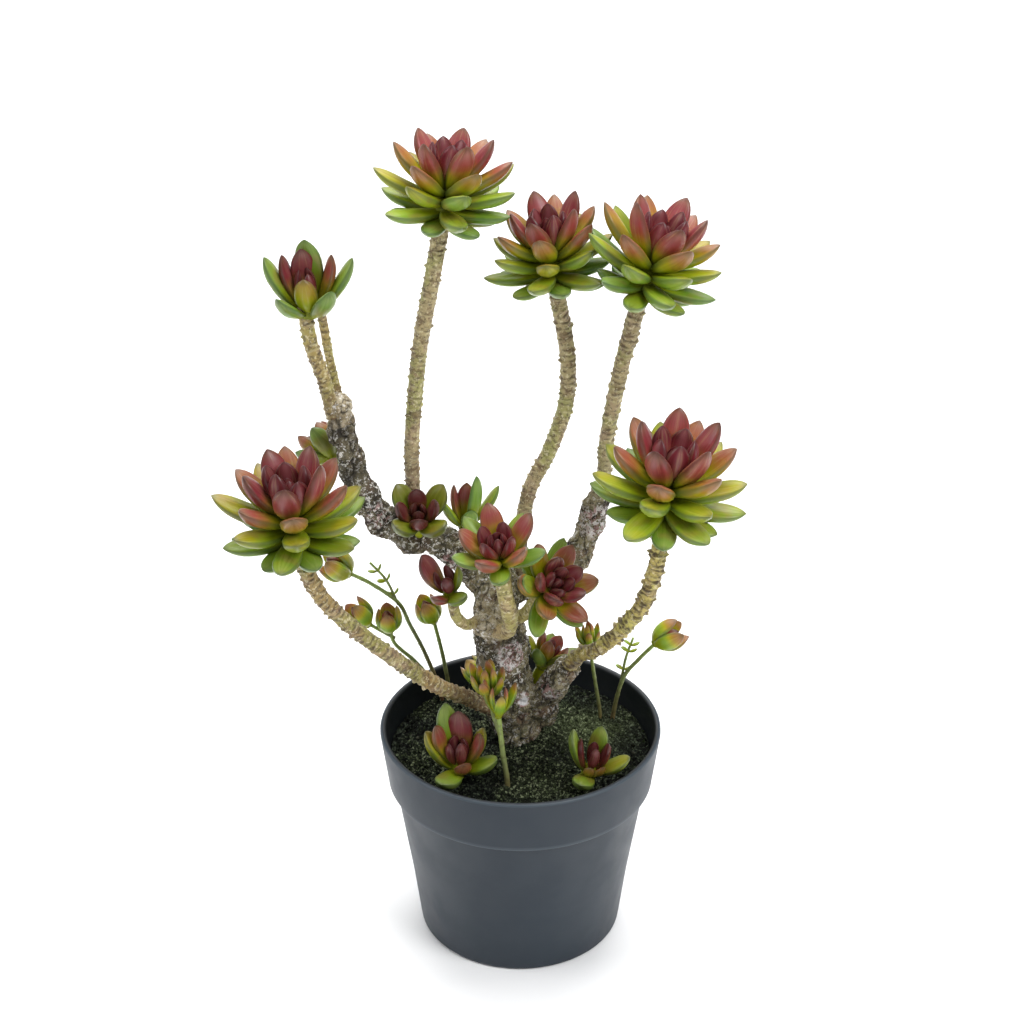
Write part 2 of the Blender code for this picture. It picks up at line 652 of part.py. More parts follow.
def stem_hole(name, group, from_top=False):
    points, foot_radius, top_radius = STEMS[name]
    radius = max(foot_radius, top_radius) * (1 + RING_SWELL)
    if from_top:
        points = points[::-1]
    return hole_cutter(name + ("_seat" if from_top else "_socket"), points, radius, group,
                       SOCKET_REACH)


def make_stems(group, cutters, trunk):
    for name, (points, foot_radius, top_radius) in STEMS.items():
        places, radii = ringed_stops(points, foot_radius, top_radius)
        finish_part(tube("stem_" + name, places, radii, group, STEM_RES), RINGED)
        cut(trunk, stem_hole(name, cutters))


def make_rosette(name, foot, lean, kind, size, turn, obstacles, group, stalk=None):
    """One rosette: a core, its leaves and a stalk of its own if it has one, fused."""
    least_core = STEMS[name][2] * (1 + RING_SWELL) + SEAT_WALL if name in STEMS else 0.0
    core, leaves = rosette_bodies("rosette_" + name, foot, lean, kind, size, turn, obstacles, group,
                                  least_core)
    if stalk:
        tube("stalk", stalk, [STALK_R] * len(stalk), leaves, STEM_RES)
    join_all(core, leaves)
    finish_part(core, LEAF_RED if name in RED_ROSETTES else LEAF)
    obstacles.append(surface_tree(core.data))
    return core


def stalk_route(foot, lean, length):
    """Straight stalk from inside the core down into what the rosette grows from."""
    direction = Vector(lean).normalized()
    return [Vector(foot) - direction * length, Vector(foot) + direction * STALK_SINK]


def make_rosettes(group, cutters, trunk, soil, obstacles, stem_trees):
    for name, (foot, lean, kind, size, turn) in ROSETTES.items():
        own = [stem for stem in STEMS if stem == name or stem.startswith(name + "_thin")]
        others = [tree for stem, tree in stem_trees.items() if stem not in own]
        near = obstacles + others
        rosette = make_rosette(name, foot, lean, kind, size, turn, near, group)
        obstacles.append(near[-1])
        for stem in own:
            cut(rosette, stem_hole(stem, cutters, from_top=True))
        apply_modifiers(rosette)
        keep_largest_body(rosette.data)
    obstacles.extend(stem_trees.values())
    for name, (foot, lean, kind, size, turn, length) in STALKED.items():
        stalk = stalk_route(foot, lean, length)
        make_rosette(name, foot, lean, kind, size, turn, obstacles, group, stalk)
        hole = hole_cutter(name + "_socket", stalk, STALK_R, cutters, SOIL_REACH)
        cut(soil if name.startswith("soil") else trunk, hole)


def twig_leaf(start, end, side, group):
    """Tiny leaf that stands out sideways from a twig."""
    along = (Vector(end) - Vector(start)).normalized()
    out = (along * 0.6 + along.cross(Vector((0, 1, 0))) * side).normalized()
    mesh = leaf_mesh(*TWIG_LEAF, SHORT_STATIONS)
    turn = Vector((1, 0, 0)).rotation_difference(out).to_matrix().to_4x4()
    mesh.transform(Matrix.Scale(MM, 4) @ Matrix.Translation(start) @ turn)
    return add_object("twig_leaf", mesh, group)


def make_sprig(name, plan, group, obstacles):
    """Thin stem with its side stems, buds and twig leaves, all fused into one."""
    pieces = new_collection(name + "_pieces")
    main_points = plan["stems"][0][0]
    for points, foot_radius, top_radius in plan["stems"]:
        route = smooth_route(points, SPRIG_STEP)
        radii = [foot_radius + (top_radius - foot_radius) * k / (len(route) - 1)
                 for k in range(len(route))]
        tube(name if points is main_points else name + "_branch", route, radii, pieces, SPRIG_RES)
    for k, (foot, lean, kind, size, turn) in enumerate(plan["buds"]):
        bud_name = name + "_bud_" + str(k + 1)
        leaves = rosette_bodies(bud_name, foot, lean, kind, size, turn, obstacles, pieces)[1]
        for leaf in list(leaves.objects):
            leaves.objects.unlink(leaf)
            pieces.objects.link(leaf)
        bpy.data.collections.remove(leaves)
    twig = plan["twig"]
    for k in range(len(twig) - 1):
        for side in (-1, 1):
            twig_leaf(twig[k], twig[k + 1], side, pieces)
    sprig = pieces.objects[name]
    pieces.objects.unlink(sprig)
    group.objects.link(sprig)
    join_all(sprig, pieces)
    finish_part(sprig, SPRIG_GREEN)
    obstacles.append(surface_tree(sprig.data))


def main():
    clear_scene()
    parts = new_collection("potted_echeveria")
    cutters = new_collection("cutters", hidden=True)

    pot = make_pot(parts)
    finish_part(pot, PLASTIC)
    soil = make_soil(parts)
    trunk = make_trunk(parts)
    obstacles = [surface_tree(thing.data) for thing in (pot, soil, trunk)]
    cut(soil, hole_cutter("trunk_hole", [p[:3] for p in TRUNK[:2]], TRUNK[0][3], cutters, SOIL_REACH))

    make_stems(parts, cutters, trunk)
    stem_trees = {name: surface_tree(parts.objects["stem_" + name].data) for name in STEMS}
    make_rosettes(parts, cutters, trunk, soil, obstacles, stem_trees)
    for name, plan in SPRIGS.items():
        make_sprig("sprig_" + name, plan, parts, obstacles)
        points, foot_radius, _ = plan["stems"][0]
        cut(soil, hole_cutter(name + "_sprig_hole", points[:3], foot_radius, cutters, SOIL_REACH))
    finish_part(soil, EARTH)
    finish_part(trunk, BARK)


if __name__ == "__main__":
    main()
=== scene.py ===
"""Looks of the potted echeveria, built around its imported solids.

Points and sizes are in millimetres, and MM turns them into metres. Routes, rosettes and
their seeds are the same as in the part's source, so every leaf and stem lies on its solid.
"""

import math
import random

import bmesh
import bpy
import numpy as np
from mathutils import Matrix, Vector, noise
from mathutils.kdtree import KDTree


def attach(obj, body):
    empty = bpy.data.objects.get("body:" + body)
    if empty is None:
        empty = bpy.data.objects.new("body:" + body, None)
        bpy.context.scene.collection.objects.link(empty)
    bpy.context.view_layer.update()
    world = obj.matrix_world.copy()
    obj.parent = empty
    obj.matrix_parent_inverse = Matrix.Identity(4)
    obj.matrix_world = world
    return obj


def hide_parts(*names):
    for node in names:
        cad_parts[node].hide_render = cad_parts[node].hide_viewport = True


MM = 0.001
SPLINE_CUTS = 24

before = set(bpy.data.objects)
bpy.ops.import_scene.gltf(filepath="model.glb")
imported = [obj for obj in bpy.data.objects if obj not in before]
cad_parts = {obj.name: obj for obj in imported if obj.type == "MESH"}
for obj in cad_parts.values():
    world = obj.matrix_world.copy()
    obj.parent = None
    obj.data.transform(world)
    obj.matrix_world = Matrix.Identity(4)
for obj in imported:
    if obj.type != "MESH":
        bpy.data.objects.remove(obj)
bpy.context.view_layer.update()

# Blender's vector noise differs from start to start unless it is seeded
NOISE_SEED = 7
noise.seed_set(NOISE_SEED)

# Pot and soil
RIM_R = 65.0
POT_H = 106.3
BAND_H = 27.5
BAND_FOOT_R = 61.6
BODY_TOP_R = 58.6
FOOT_R = 47.2
WALL = 2.6
FLOOR_H = 3.4
RECESS_H = 1.2
CENTRE_PAD_R = 20.0
BAND_Z = POT_H - BAND_H
POT_SIDES = 160
SHARP_ANGLE = 38
SOIL_TOP = 93.0
SOIL_MOUND = 2.0
SOIL_EDGE_DROP = 1.2
SOIL_GAP = 0.3
SOIL_STEP = 0.75
SOIL_SIDES = 330
CRUMBS = 2600
CRUMB_SIZES = (0.35, 1.0)
CRUMB_MARGIN = 1.5
# Greener places of the soil, as x, y and reach: at the back right and in front of the trunk;
# they are also lightened, as painted light where the plant shades the soil, most at the back right
MOSS_AND_LIGHT_BACK = (32, 14, 16)
MOSS_FRONT = (10, -34, 13)

# Bark: route points as x, y, z and radius
TRUNK = [
    (0, 8, 66, 9), (0, 8, 97, 9), (0, 8, 98.5, 11.5), (-3, 8, 108, 12.3), (-7, 6, 129, 12.3),
    (-9, 4, 147, 12), (-11, 3, 165, 10.5), (-10, 4, 180, 8.5), (-9, 6, 188, 5),
]
LEFT_LIMB = [
    (-10, 4, 168, 8), (-23, 6, 188, 7.4), (-37, 9, 198, 6.8), (-54, 10, 202, 6.8),
    (-67, 8, 216, 6.6), (-74, 6, 237, 6.2), (-78, 4, 256, 5.8), (-79, 4, 267, 5.4),
]
RIGHT_LIMB = [
    (-8, 5, 172, 8), (8, 12, 176, 7.4), (24, 18, 183, 6.6), (31, 20, 200, 6), (36, 20, 218, 5.8),
]
LOW_LIMB = [(0, 8, 100, 8), (10, 3, 118, 6.8), (22, -4, 140, 6)]
KNOBS = [
    ((-15, -8, 165), (8.6, 8.2, 7.2)), ((-79, 5, 267), (6.8, 9.5, 6.5)),
    ((11, 10, 107), (8, 8, 9)),
]
PALE_KNOBS = KNOBS[:2]
KNOB_SHARE = 0.88
# Chalky places on the bark, with their reach
CHALK = [((-4.5, -8, 147), 8), ((1, -5, 122.5), 4.5), ((34, 14, 204), 10), ((-30, 2, 190), 7),
         ((14, -2, 128), 7), ((-62, 3, 214), 7)]
# A ring and a spot of white crystals on the front of the trunk: x and height, and their sizes
RING_SPOT = (-4.5, 147)
RING_REACH = 4.6
RING_WIDTH = 1.7
RING_BACK_WIDTH = 1.4
WHITE_SPOT = (1.4, 120.6)
SPOT_REACH = 2.3
FRONT_Y = 2
# Darker bark: the limb left of one x, and the trunk left of another and below a height
DUSK_LIMB_X = -22
DUSK_TRUNK_X = -7
DUSK_TOP = 172
MOSSY_BARK_TOP = 118
ROUGH_BARK_FOOT = 90
BARK_VOXEL = 0.75
BARK_STEP = 1.4

# Stems: route points from foot to top, radius at the foot and at the top, and the look
STEMS = {
    "top_left": ([
        (-49, 11, 203), (-48, 13, 222), (-48, 16, 245), (-44, 20, 286), (-38, 20, 319),
        (-33, 20, 347)], 3.3, 3.6, "olive"),
    "top_middle": ([
        (0, 10, 178), (0, 14, 196), (4, 20, 218), (13, 24, 236), (20, 26, 259), (20, 26, 284),
        (14, 22, 319)], 3.3, 3.6, "olive"),
    "top_right": ([
        (34, 20, 210), (37, 19, 226), (38, 18, 245), (43, 14, 279), (47, 10, 300),
        (51, 8, 320)], 3.2, 3.6, "olive"),
    "right": ([
        (19, -2, 134), (26, -7, 147), (38, -14, 158), (52, -24, 182), (58, -29, 205),
        (61, -31, 235)], 3.2, 3.6, "yellow"),
    "left": ([
        (-9, -2, 114), (-23, -10, 126), (-41, -20, 142), (-66, -30, 169), (-85, -34, 192),
        (-93, -36, 212), (-95, -36, 223)], 3.5, 3.6, "brown"),
    "far_left": ([(-81, 1, 263), (-84, 1, 280), (-89, 0, 298), (-91, 0, 315)], 3, 3.2, "tan"),
    "far_left_thin": ([
        (-78, 10, 264), (-82, 10, 285), (-84, 8, 303), (-85, 6, 314)], 1.9, 2, "tan"),
    "crown_front": ([
        (-12, -9, 162), (-6, -18, 167), (-5, -24, 178), (-7, -28, 192),
        (-9, -29, 211)], 3.4, 3.6, "cream"),
    "crown_right": ([(-4, -2, 163), (2, -8, 170), (6, -11, 178), (9, -14, 186)],
                    3, 3, "cream"),
    "crown_left": ([
        (-20, -9, 166), (-25, -17, 170), (-29, -21, 178), (-30, -22, 189)], 2.5, 2.6, "cream"),
}
RING_PITCH = 2.7
STEM_SIDES = 22
STEM_WOBBLE = 0.22
# Lip of a ring: its place and width, as shares of the ring
LIP_AT = 0.80
LIP_WIDTH = 0.15

# Leaf: shares of its length or width, and its thickness above and below
LEAF_WIDEST = 0.55
LEAF_ROOT_SHARE = 0.34
LEAF_CLOSING = 0.06
LEAF_TIP_POWER = 2.7
LEAF_TIP_ROUND = 0.80
LEAF_ABOVE = 0.30
LEAF_BELOW = 0.74
LEAF_BELLY_POWER = 0.85
LEAF_RINGS = 18
LEAF_SIDES = 16

# Rosette kinds: radius and height of the core, curl of the leaves, rows of leaf count,
# elevation in degrees, length, width, height and radius of the root, and turn in degrees, and
# how red each row is, from 0 for green to 1 for wine red
KINDS = {
    "FULL": (6.2, 21, 0.10, [
        (6, -4, 23, 9.4, 3.4, 0, 0), (6, 2, 29, 10.2, 6.4, 0, 31), (7, 18, 30, 10.2, 9.6, 0.5, 70),
        (6, 34, 29, 10.4, 13, 1, 102), (5, 54, 26, 10.4, 16, 2.2, 139),
        (5, 70, 19, 8.8, 18, 2.4, 182), (2, 82, 13, 5.6, 19, 0.8, 234),
    ], [0.00, 0.03, 0.10, 0.25, 0.52, 0.78, 0.92]),
    "CROWN_FRONT": (5, 12, 0.16, [
        (5, 20, 22, 8.4, 2, 0, -90), (5, 38, 22, 9.6, 4, 0.8, 28), (4, 62, 15, 7.6, 6, 1.6, 55),
        (4, 78, 11, 5.2, 7, 1.2, 10),
    ], [0, 0.38, 0.72, 0.86]),
    "CROWN_RIGHT": (5.2, 12, 0.16, [
        (6, 8, 22, 8.8, 2, 0, -100), (6, 26, 21, 9.4, 4.5, 0.5, 20), (5, 48, 16, 8.2, 7, 1.4, 45),
        (4, 66, 12, 6.4, 8, 1.6, 0), (2, 82, 9, 4.4, 8.5, 0.6, 40),
    ], [0.04, 0.26, 0.6, 0.8, 0.9]),
    "CROWN_LEFT": (3.6, 7, 0.16, [
        (1, 66, 22, 10.8, 1.5, 1.5, 150), (1, 6, 12, 9, 1, 0.8, -58), (1, 52, 15, 7, 1, 1, 12),
        (1, 24, 12, 7.6, 0, 0.8, -130), (3, 68, 11, 5.8, 2.5, 1.6, 50),
    ], [0.7, 0, 0.1, 0.4, 0.95]),
    "CUP": (4, 8, 0.14, [
        (5, 34, 18, 8.8, 1, 0.5, 0), (4, 60, 16, 8, 3, 1.8, 43), (3, 76, 11, 5.6, 4.5, 1.4, 80),
    ], [0.08, 0.38, 0.8]),
    "LIMB_RED": (4, 8, 0.16, [
        (4, 34, 18, 9.6, 1, 0.5, 45), (4, 58, 14, 7.4, 3, 1.6, 5), (3, 78, 9, 4.8, 4, 1, 30),
    ], [0.1, 0.72, 0.95]),
    "LIMB_GREEN": (3.6, 7, 0.12, [
        (1, 60, 13, 7.8, 0.5, 1.4, -74), (1, 74, 27, 8.4, 0.5, 1.4, -30),
        (1, 48, 23, 7.4, 0.5, 1, 8), (1, 70, 21, 6.6, 0.5, 1.2, 170), (1, 74, 19, 8, 1, 1.4, 95),
        (1, 52, 19, 7.4, 0, 1, 200),
    ], [0, 0, 0, 0.5, 0.45, 0.1]),
    "SOIL_LEFT": (4.4, 8.5, 0.16, [
        (1, 18, 17, 10, 1, 0.8, -112), (1, 28, 19, 9, 1, 0.8, -20), (1, 50, 22, 9.2, 1, 1.2, 172),
        (1, 66, 28, 9.6, 1, 1.2, 116), (1, 50, 20, 8, 1, 1.2, 24), (1, 62, 20, 8.6, 3, 1.8, 160),
        (1, 70, 25, 10.6, 3, 1.8, 76), (1, 56, 18, 8.6, 3, 1.8, 4), (1, 50, 12, 7.4, 2, 2.2, -72),
        (4, 76, 13, 5.6, 4.5, 1.6, 30),
    ], [0, 0.05, 0.15, 0, 0.1, 0.4, 0.6, 0.35, 0.35, 0.9]),
    "SOIL_RIGHT": (4, 8, 0.16, [
        (1, 60, 26, 8.4, 1, 0.8, 168), (1, 22, 15, 9.8, 1, 0.8, -114),
        (1, 42, 20, 8.4, 1, 0.8, -12), (1, 64, 24, 8.6, 1, 0.8, 68), (2, 66, 18, 6.6, 3, 2, 4),
        (2, 80, 14, 5, 4.5, 1, 92), (1, 58, 11, 5.4, 2, 2.4, -60), (1, 58, 10, 5.4, 2, 2.4, -104),
    ], [0.05, 0, 0.05, 0.05, 0.85, 0.95, 0.2, 0.2]),
    "TALL_CUP": (6.8, 8, 0.16, [
        (1, 52, 30, 10.2, 0, 3, 172), (1, 50, 30, 9.8, 0, 3, 8), (1, 40, 20, 9.8, 0, 3, -130),
        (1, 44, 21, 10.8, 0, 3, -46), (1, 76, 29, 10.8, 0, 3, 106), (1, 72, 28, 12.2, 2, 3, 74),
        (1, 64, 25, 8.4, 2, 3, 162), (1, 58, 24, 8.8, 2, 3, 20), (1, 62, 20, 9.8, 2, 3, -88),
        (3, 78, 15, 5.8, 4, 2, 60),
    ], [0, 0.05, 0, 0, 0.58, 0.04, 0.6, 0.35, 0.2, 0.9]),
    "BUD": (2.4, 5, 0.48, [
        (4, 48, 13, 8.4, 0, 0.8, 0), (2, 66, 10, 5, 1, 0.6, 40),
    ], [0.06, 0.3]),
    "SPIKY_BUD": (2.1, 4, 0.24, [
        (6, 50, 14, 4.8, 0, 1, 0), (4, 70, 14, 4.4, 1, 0.8, 40),
    ], [0.06, 0.1]),
    "TULIP_BUD": (1.8, 4, 0.22, [
        (3, 54, 17, 5, 0, 1, -90), (2, 72, 14, 4, 1, 0.8, 0),
    ], [0.06, 0.15]),
}
ELEVATION_JITTER = 3.5
TURN_JITTER = 4.0
LENGTH_JITTER = 0.08
# Bends that a leaf may have in the solids, as degrees upwards and share of its length
BENDS = [(0, 1), (12, 1), (-12, 1), (24, 1), (-24, 1), (24, 0.8), (-24, 0.8),
         (36, 0.8), (0, 0.7), (36, 0.6), (0, 0.5)]
TIP_MATCH = 0.25
CORE_SUNK = 1.5

# Rosettes: foot, lean, kind, size, turn, stalk length, shift of the redness and painted shade
ROSETTES = {
    "top_left": ((-33, 20, 344), (0.12, -0.03, 1), "FULL", 1.03, 10, 0, 0, 0),
    "top_middle": ((14, 22, 315), (-0.12, -0.06, 1), "FULL", 0.98, 40, 0, 0.02, 0.07),
    "top_right": ((51, 8, 316), (0.27, -0.04, 1), "FULL", 1.07, 70, 0, 0, 0),
    "right": ((60, -31, 231), (0.11, -0.17, 1), "FULL", 1.18, 25, 0, 0.02, 0),
    "left": ((-95, -36, 219), (-0.06, -0.17, 1), "FULL", 1.15, 55, 0, 0.04, 0.17),
    "far_left": ((-89, 2, 312), (-0.05, -0.2, 1), "TALL_CUP", 1, 0, 0, 0, 0.2),
    "crown_front": ((-9, -29, 207), (-0.1, -0.4, 1), "CROWN_FRONT", 1.07, 0, 0, 0, 0.12),
    "crown_right": ((10, -13, 184), (0.5, -0.75, 0.8), "CROWN_RIGHT", 1.08, 0, 0, 0, 0.05),
    "crown_left": ((-31, -22, 188), (-0.25, -0.2, 1), "CROWN_LEFT", 1, 0, 0, 0, 0.35),
    "limb_red": ((-45, 2, 210), (0, -0.6, 1), "LIMB_RED", 1.14, 0, 8, 0, 0.55),
    "limb_green": ((-25, 15, 202), (0.05, -0.1, 1), "LIMB_GREEN", 1, 0, 11, 0, 0),
    "limb_back": ((-82, 14, 236), (-0.7, 0.6, 0.6), "CUP", 1, 0, 9, -0.05, 0.25),
    "trunk_right": ((10, 14, 129), (0.45, 0, 1), "CUP", 0.9, 20, 11, 0, 0.25),
    "trunk_left": ((-17, 15.5, 120), (-0.7, 0.6, 0.5), "BUD", 0.9, 10, 9, 0, 0),
    "soil_left": ((-28, -27, 99), (-0.03, -0.25, 1), "SOIL_LEFT", 1.14, 0, 15, 0, 0.3),
    "soil_right": ((31, -30, 99), (0.12, -0.3, 1), "SOIL_RIGHT", 1.05, 0, 15, 0, 0.3),
}
STALK_R = 2.4
STALK_SIDES = 12

# Sprigs: thin stems as routes with their radii at the foot and the top; buds as foot, lean,
# kind, size and turn; and the route of a twig with tiny leaves
SPRIGS = {
    "left": ([
        ([(-37, 39, 78), (-38, 40, 96), (-45, 41, 118), (-52, 36, 138), (-57, 31, 153),
          (-69, 26, 166), (-80, 23, 174)], 1.1, 0.9),
        ([(-41, 40, 103), (-50, 34, 119), (-59, 29, 132), (-61, 28, 142)], 1, 0.9),
        ([(-59, 29, 135), (-65, 27, 140), (-72, 25, 146)], 0.9, 0.8),
        ([(-57, 31, 152), (-62, 29, 166), (-69, 26, 177)], 0.7, 0.6),
    ], [
        ((-79, 23, 173), (-0.8, -0.2, 0.8), "BUD", 1.1, 10),
        ((-71, 25, 145), (-0.6, -0.1, 0.8), "BUD", 0.95, 40),
        ((-61, 28, 140), (-0.1, -0.1, 1), "BUD", 0.95, 0),
    ], [(-59, 30, 158), (-62, 29, 166), (-66, 27, 172), (-69, 26, 177)]),
    "left_short": ([
        ([(-33, 43, 78), (-34, 43, 95), (-37, 41, 118), (-41, 38, 140)], 1.1, 0.9),
    ], [((-41, 38, 139), (-0.4, -0.1, 1), "BUD", 1, 20)], []),
    "front": ([
        ([(-6, -33, 78), (-6, -33, 96), (-8, -33, 112), (-10, -31, 132)], 1.3, 1.1),
        ([(-8, -32, 117), (-12, -26, 127), (-14, -22, 137)], 1, 1),
    ], [
        ((-10, -31, 131), (0.05, -0.1, 1), "TULIP_BUD", 1, 0),
        ((-14, -22, 136), (-0.1, -0.1, 1), "SPIKY_BUD", 1.1, 20),
    ], []),
    "right_short": ([
        ([(38, 24, 78), (38, 24, 95), (35, 21, 117), (32, 18, 138)], 0.9, 0.8),
    ], [((32, 18, 137), (-0.1, 0, 1), "SPIKY_BUD", 0.8, 30)], []),
    "right": ([
        ([(44, 23, 78), (44, 23, 95), (48, 17, 120), (55, 12, 134), (63, 8, 146)], 1.1, 0.9),
        ([(47, 18, 117), (49, 16, 132), (52, 14, 144)], 0.7, 0.6),
    ], [
        ((62, 8, 145), (0.9, -0.1, 0.7), "BUD", 1.05, 0),
    ], [(48, 17, 125), (50, 15, 136), (51, 14, 140), (52, 14, 144)]),
}
SPRIG_STEP = 1.2
SPRIG_SIDES = 10
JOINT_PITCH = 9
# Twig leaves: length, width and curl
TWIG_LEAF = (4.5, 2.4, 0.1)

# Camera in metres and degrees, with its lens and sensor in millimetres, and the sky's light
CAMERA_AT = (-0.0039, -0.8596, 0.6751)
CAMERA_DOWN = 28.04
LENS = 77.8
SENSOR = 36.0
SKY = (0.95, 0.97, 1.0, 1)
SKY_STRENGTH = 0.5
# Lights in metres: place, aim, size and power in watts
PLANT = (0, 0, 0.18)
LIGHTS = {
    "key": ((0.9, -0.8, 1.4), PLANT, 0.7, 18.0),
    "side": ((-1.2, -0.2, 1.0), PLANT, 0.7, 6.0),
    "top": ((0.0, 0.4, 1.8), PLANT, 1.4, 34.0),
    "far": ((0.0, 3.0, 2.4), (0, 3.2, 0), 3.0, 80.0),
}


# Node materials

def tone(red, green, blue):
    """Linear colour from sRGB values of 0 to 255."""
    def straight(value):
        share = value / 255
        return share / 12.92 if share <= 0.04045 else ((share + 0.055) / 1.055) ** 2.4
    return (straight(red), straight(green), straight(blue), 1.0)


class Nodes:
    """Short way to write a node material, whose colour is painted in layers.

    A colour is a socket, or red, green and blue from 0 to 255.
    """

    def __init__(self, name):
        self.material = bpy.data.materials.new(name)
        self.material.use_nodes = True
        self.tree = self.material.node_tree
        self.shader = self.tree.nodes["Principled BSDF"]
        self.colour = None

    def put(self, socket, value):
        if isinstance(value, bpy.types.NodeSocket):
            self.tree.links.new(value, socket)
        else:
            socket.default_value = tone(*value) if socket.type == "RGBA" else value

    def add(self, kind, settings=None, **inputs):
        node = self.tree.nodes.new("ShaderNode" + kind)
        for key, value in (settings or {}).items():
            setattr(node, key, value)
        for key, value in inputs.items():
            self.put(node.inputs[key.replace("_", " ")], value)
        return node

    def fill(self, node, *values):
        for socket, value in zip(node.inputs, values):
            self.put(socket, value)
        return node

    def mark(self, name):
        return self.add("Attribute", {"attribute_name": name}).outputs["Fac"]

    def maths(self, operation, a, b, clamp=False):
        node = self.add("Math", {"operation": operation, "use_clamp": clamp})
        return self.fill(node, a, b).outputs[0]

    def plus(self, a, b, clamp=False):
        return self.maths("ADD", a, b, clamp)

    def minus(self, a, b):
        return self.maths("SUBTRACT", a, b)

    def times(self, a, b):
        return self.maths("MULTIPLY", a, b)

    def swing(self, value, weight):
        """A value of 0 to 1 as a weighted swing to both sides of nought."""
        return self.times(self.minus(value, 0.5), weight)

    def spread(self, value, low, high, to_low=0.0, to_high=1.0):
        node = self.add("MapRange", {"interpolation_type": "SMOOTHSTEP"})
        return self.fill(node, value, low, high, to_low, to_high).outputs[0]

    def mix(self, share, a, b):
        node = self.add("Mix", {"data_type": "RGBA"})
        for place, value in ((0, share), (6, a), (7, b)):
            self.put(node.inputs[place], value)
        return node.outputs[2]

    def paint(self, share, layer, weight=None):
        """Lay a colour over the material's colour, as far as its share says."""
        if weight is not None:
            share = self.times(share, weight)
        self.colour = self.mix(share, self.colour, layer)

    def ramp(self, value, stops):
        """Colours from stops of place, red, green and blue."""
        node = self.add("ValToRGB", Fac=value)
        places = node.color_ramp.elements
        while len(places) < len(stops):
            places.new(0.5)
        for place, (at, *colour) in zip(places, stops):
            place.position = at
            place.color = tone(*colour)
        return node.outputs["Color"]

    def place(self):
        return self.add("TexCoord").outputs["Object"]

    def grain(self, scale, detail=3.0, roughness=0.5, where=None):
        node = self.add("TexNoise", Vector=where or self.place(), Scale=scale,
                        Detail=detail, Roughness=roughness)
        return node.outputs["Fac"]

    def cells(self, scale, feature="F1", out="Distance"):
        node = self.add("TexVoronoi", {"feature": feature}, Vector=self.place(), Scale=scale)
        return node.outputs[out]

    def finish(self, roughness, bump=None, strength=0.0, depth=0.0, glow=None, **constants):
        """Set the shader; a glow is the weight and the radii of light spread under the skin."""
        self.put(self.shader.inputs["Base Color"], self.colour)
        self.put(self.shader.inputs["Roughness"], roughness)
        if bump is not None:
            node = self.add("Bump", Strength=strength, Distance=depth, Height=bump)
            self.put(self.shader.inputs["Normal"], node.outputs["Normal"])
        if glow:
            constants.update(Subsurface_Weight=glow[0], Subsurface_Radius=glow[1:],
                             Subsurface_Scale=1.0)
        for key, value in constants.items():
            self.shader.inputs[key.replace("_", " ")].default_value = value
        return self.material


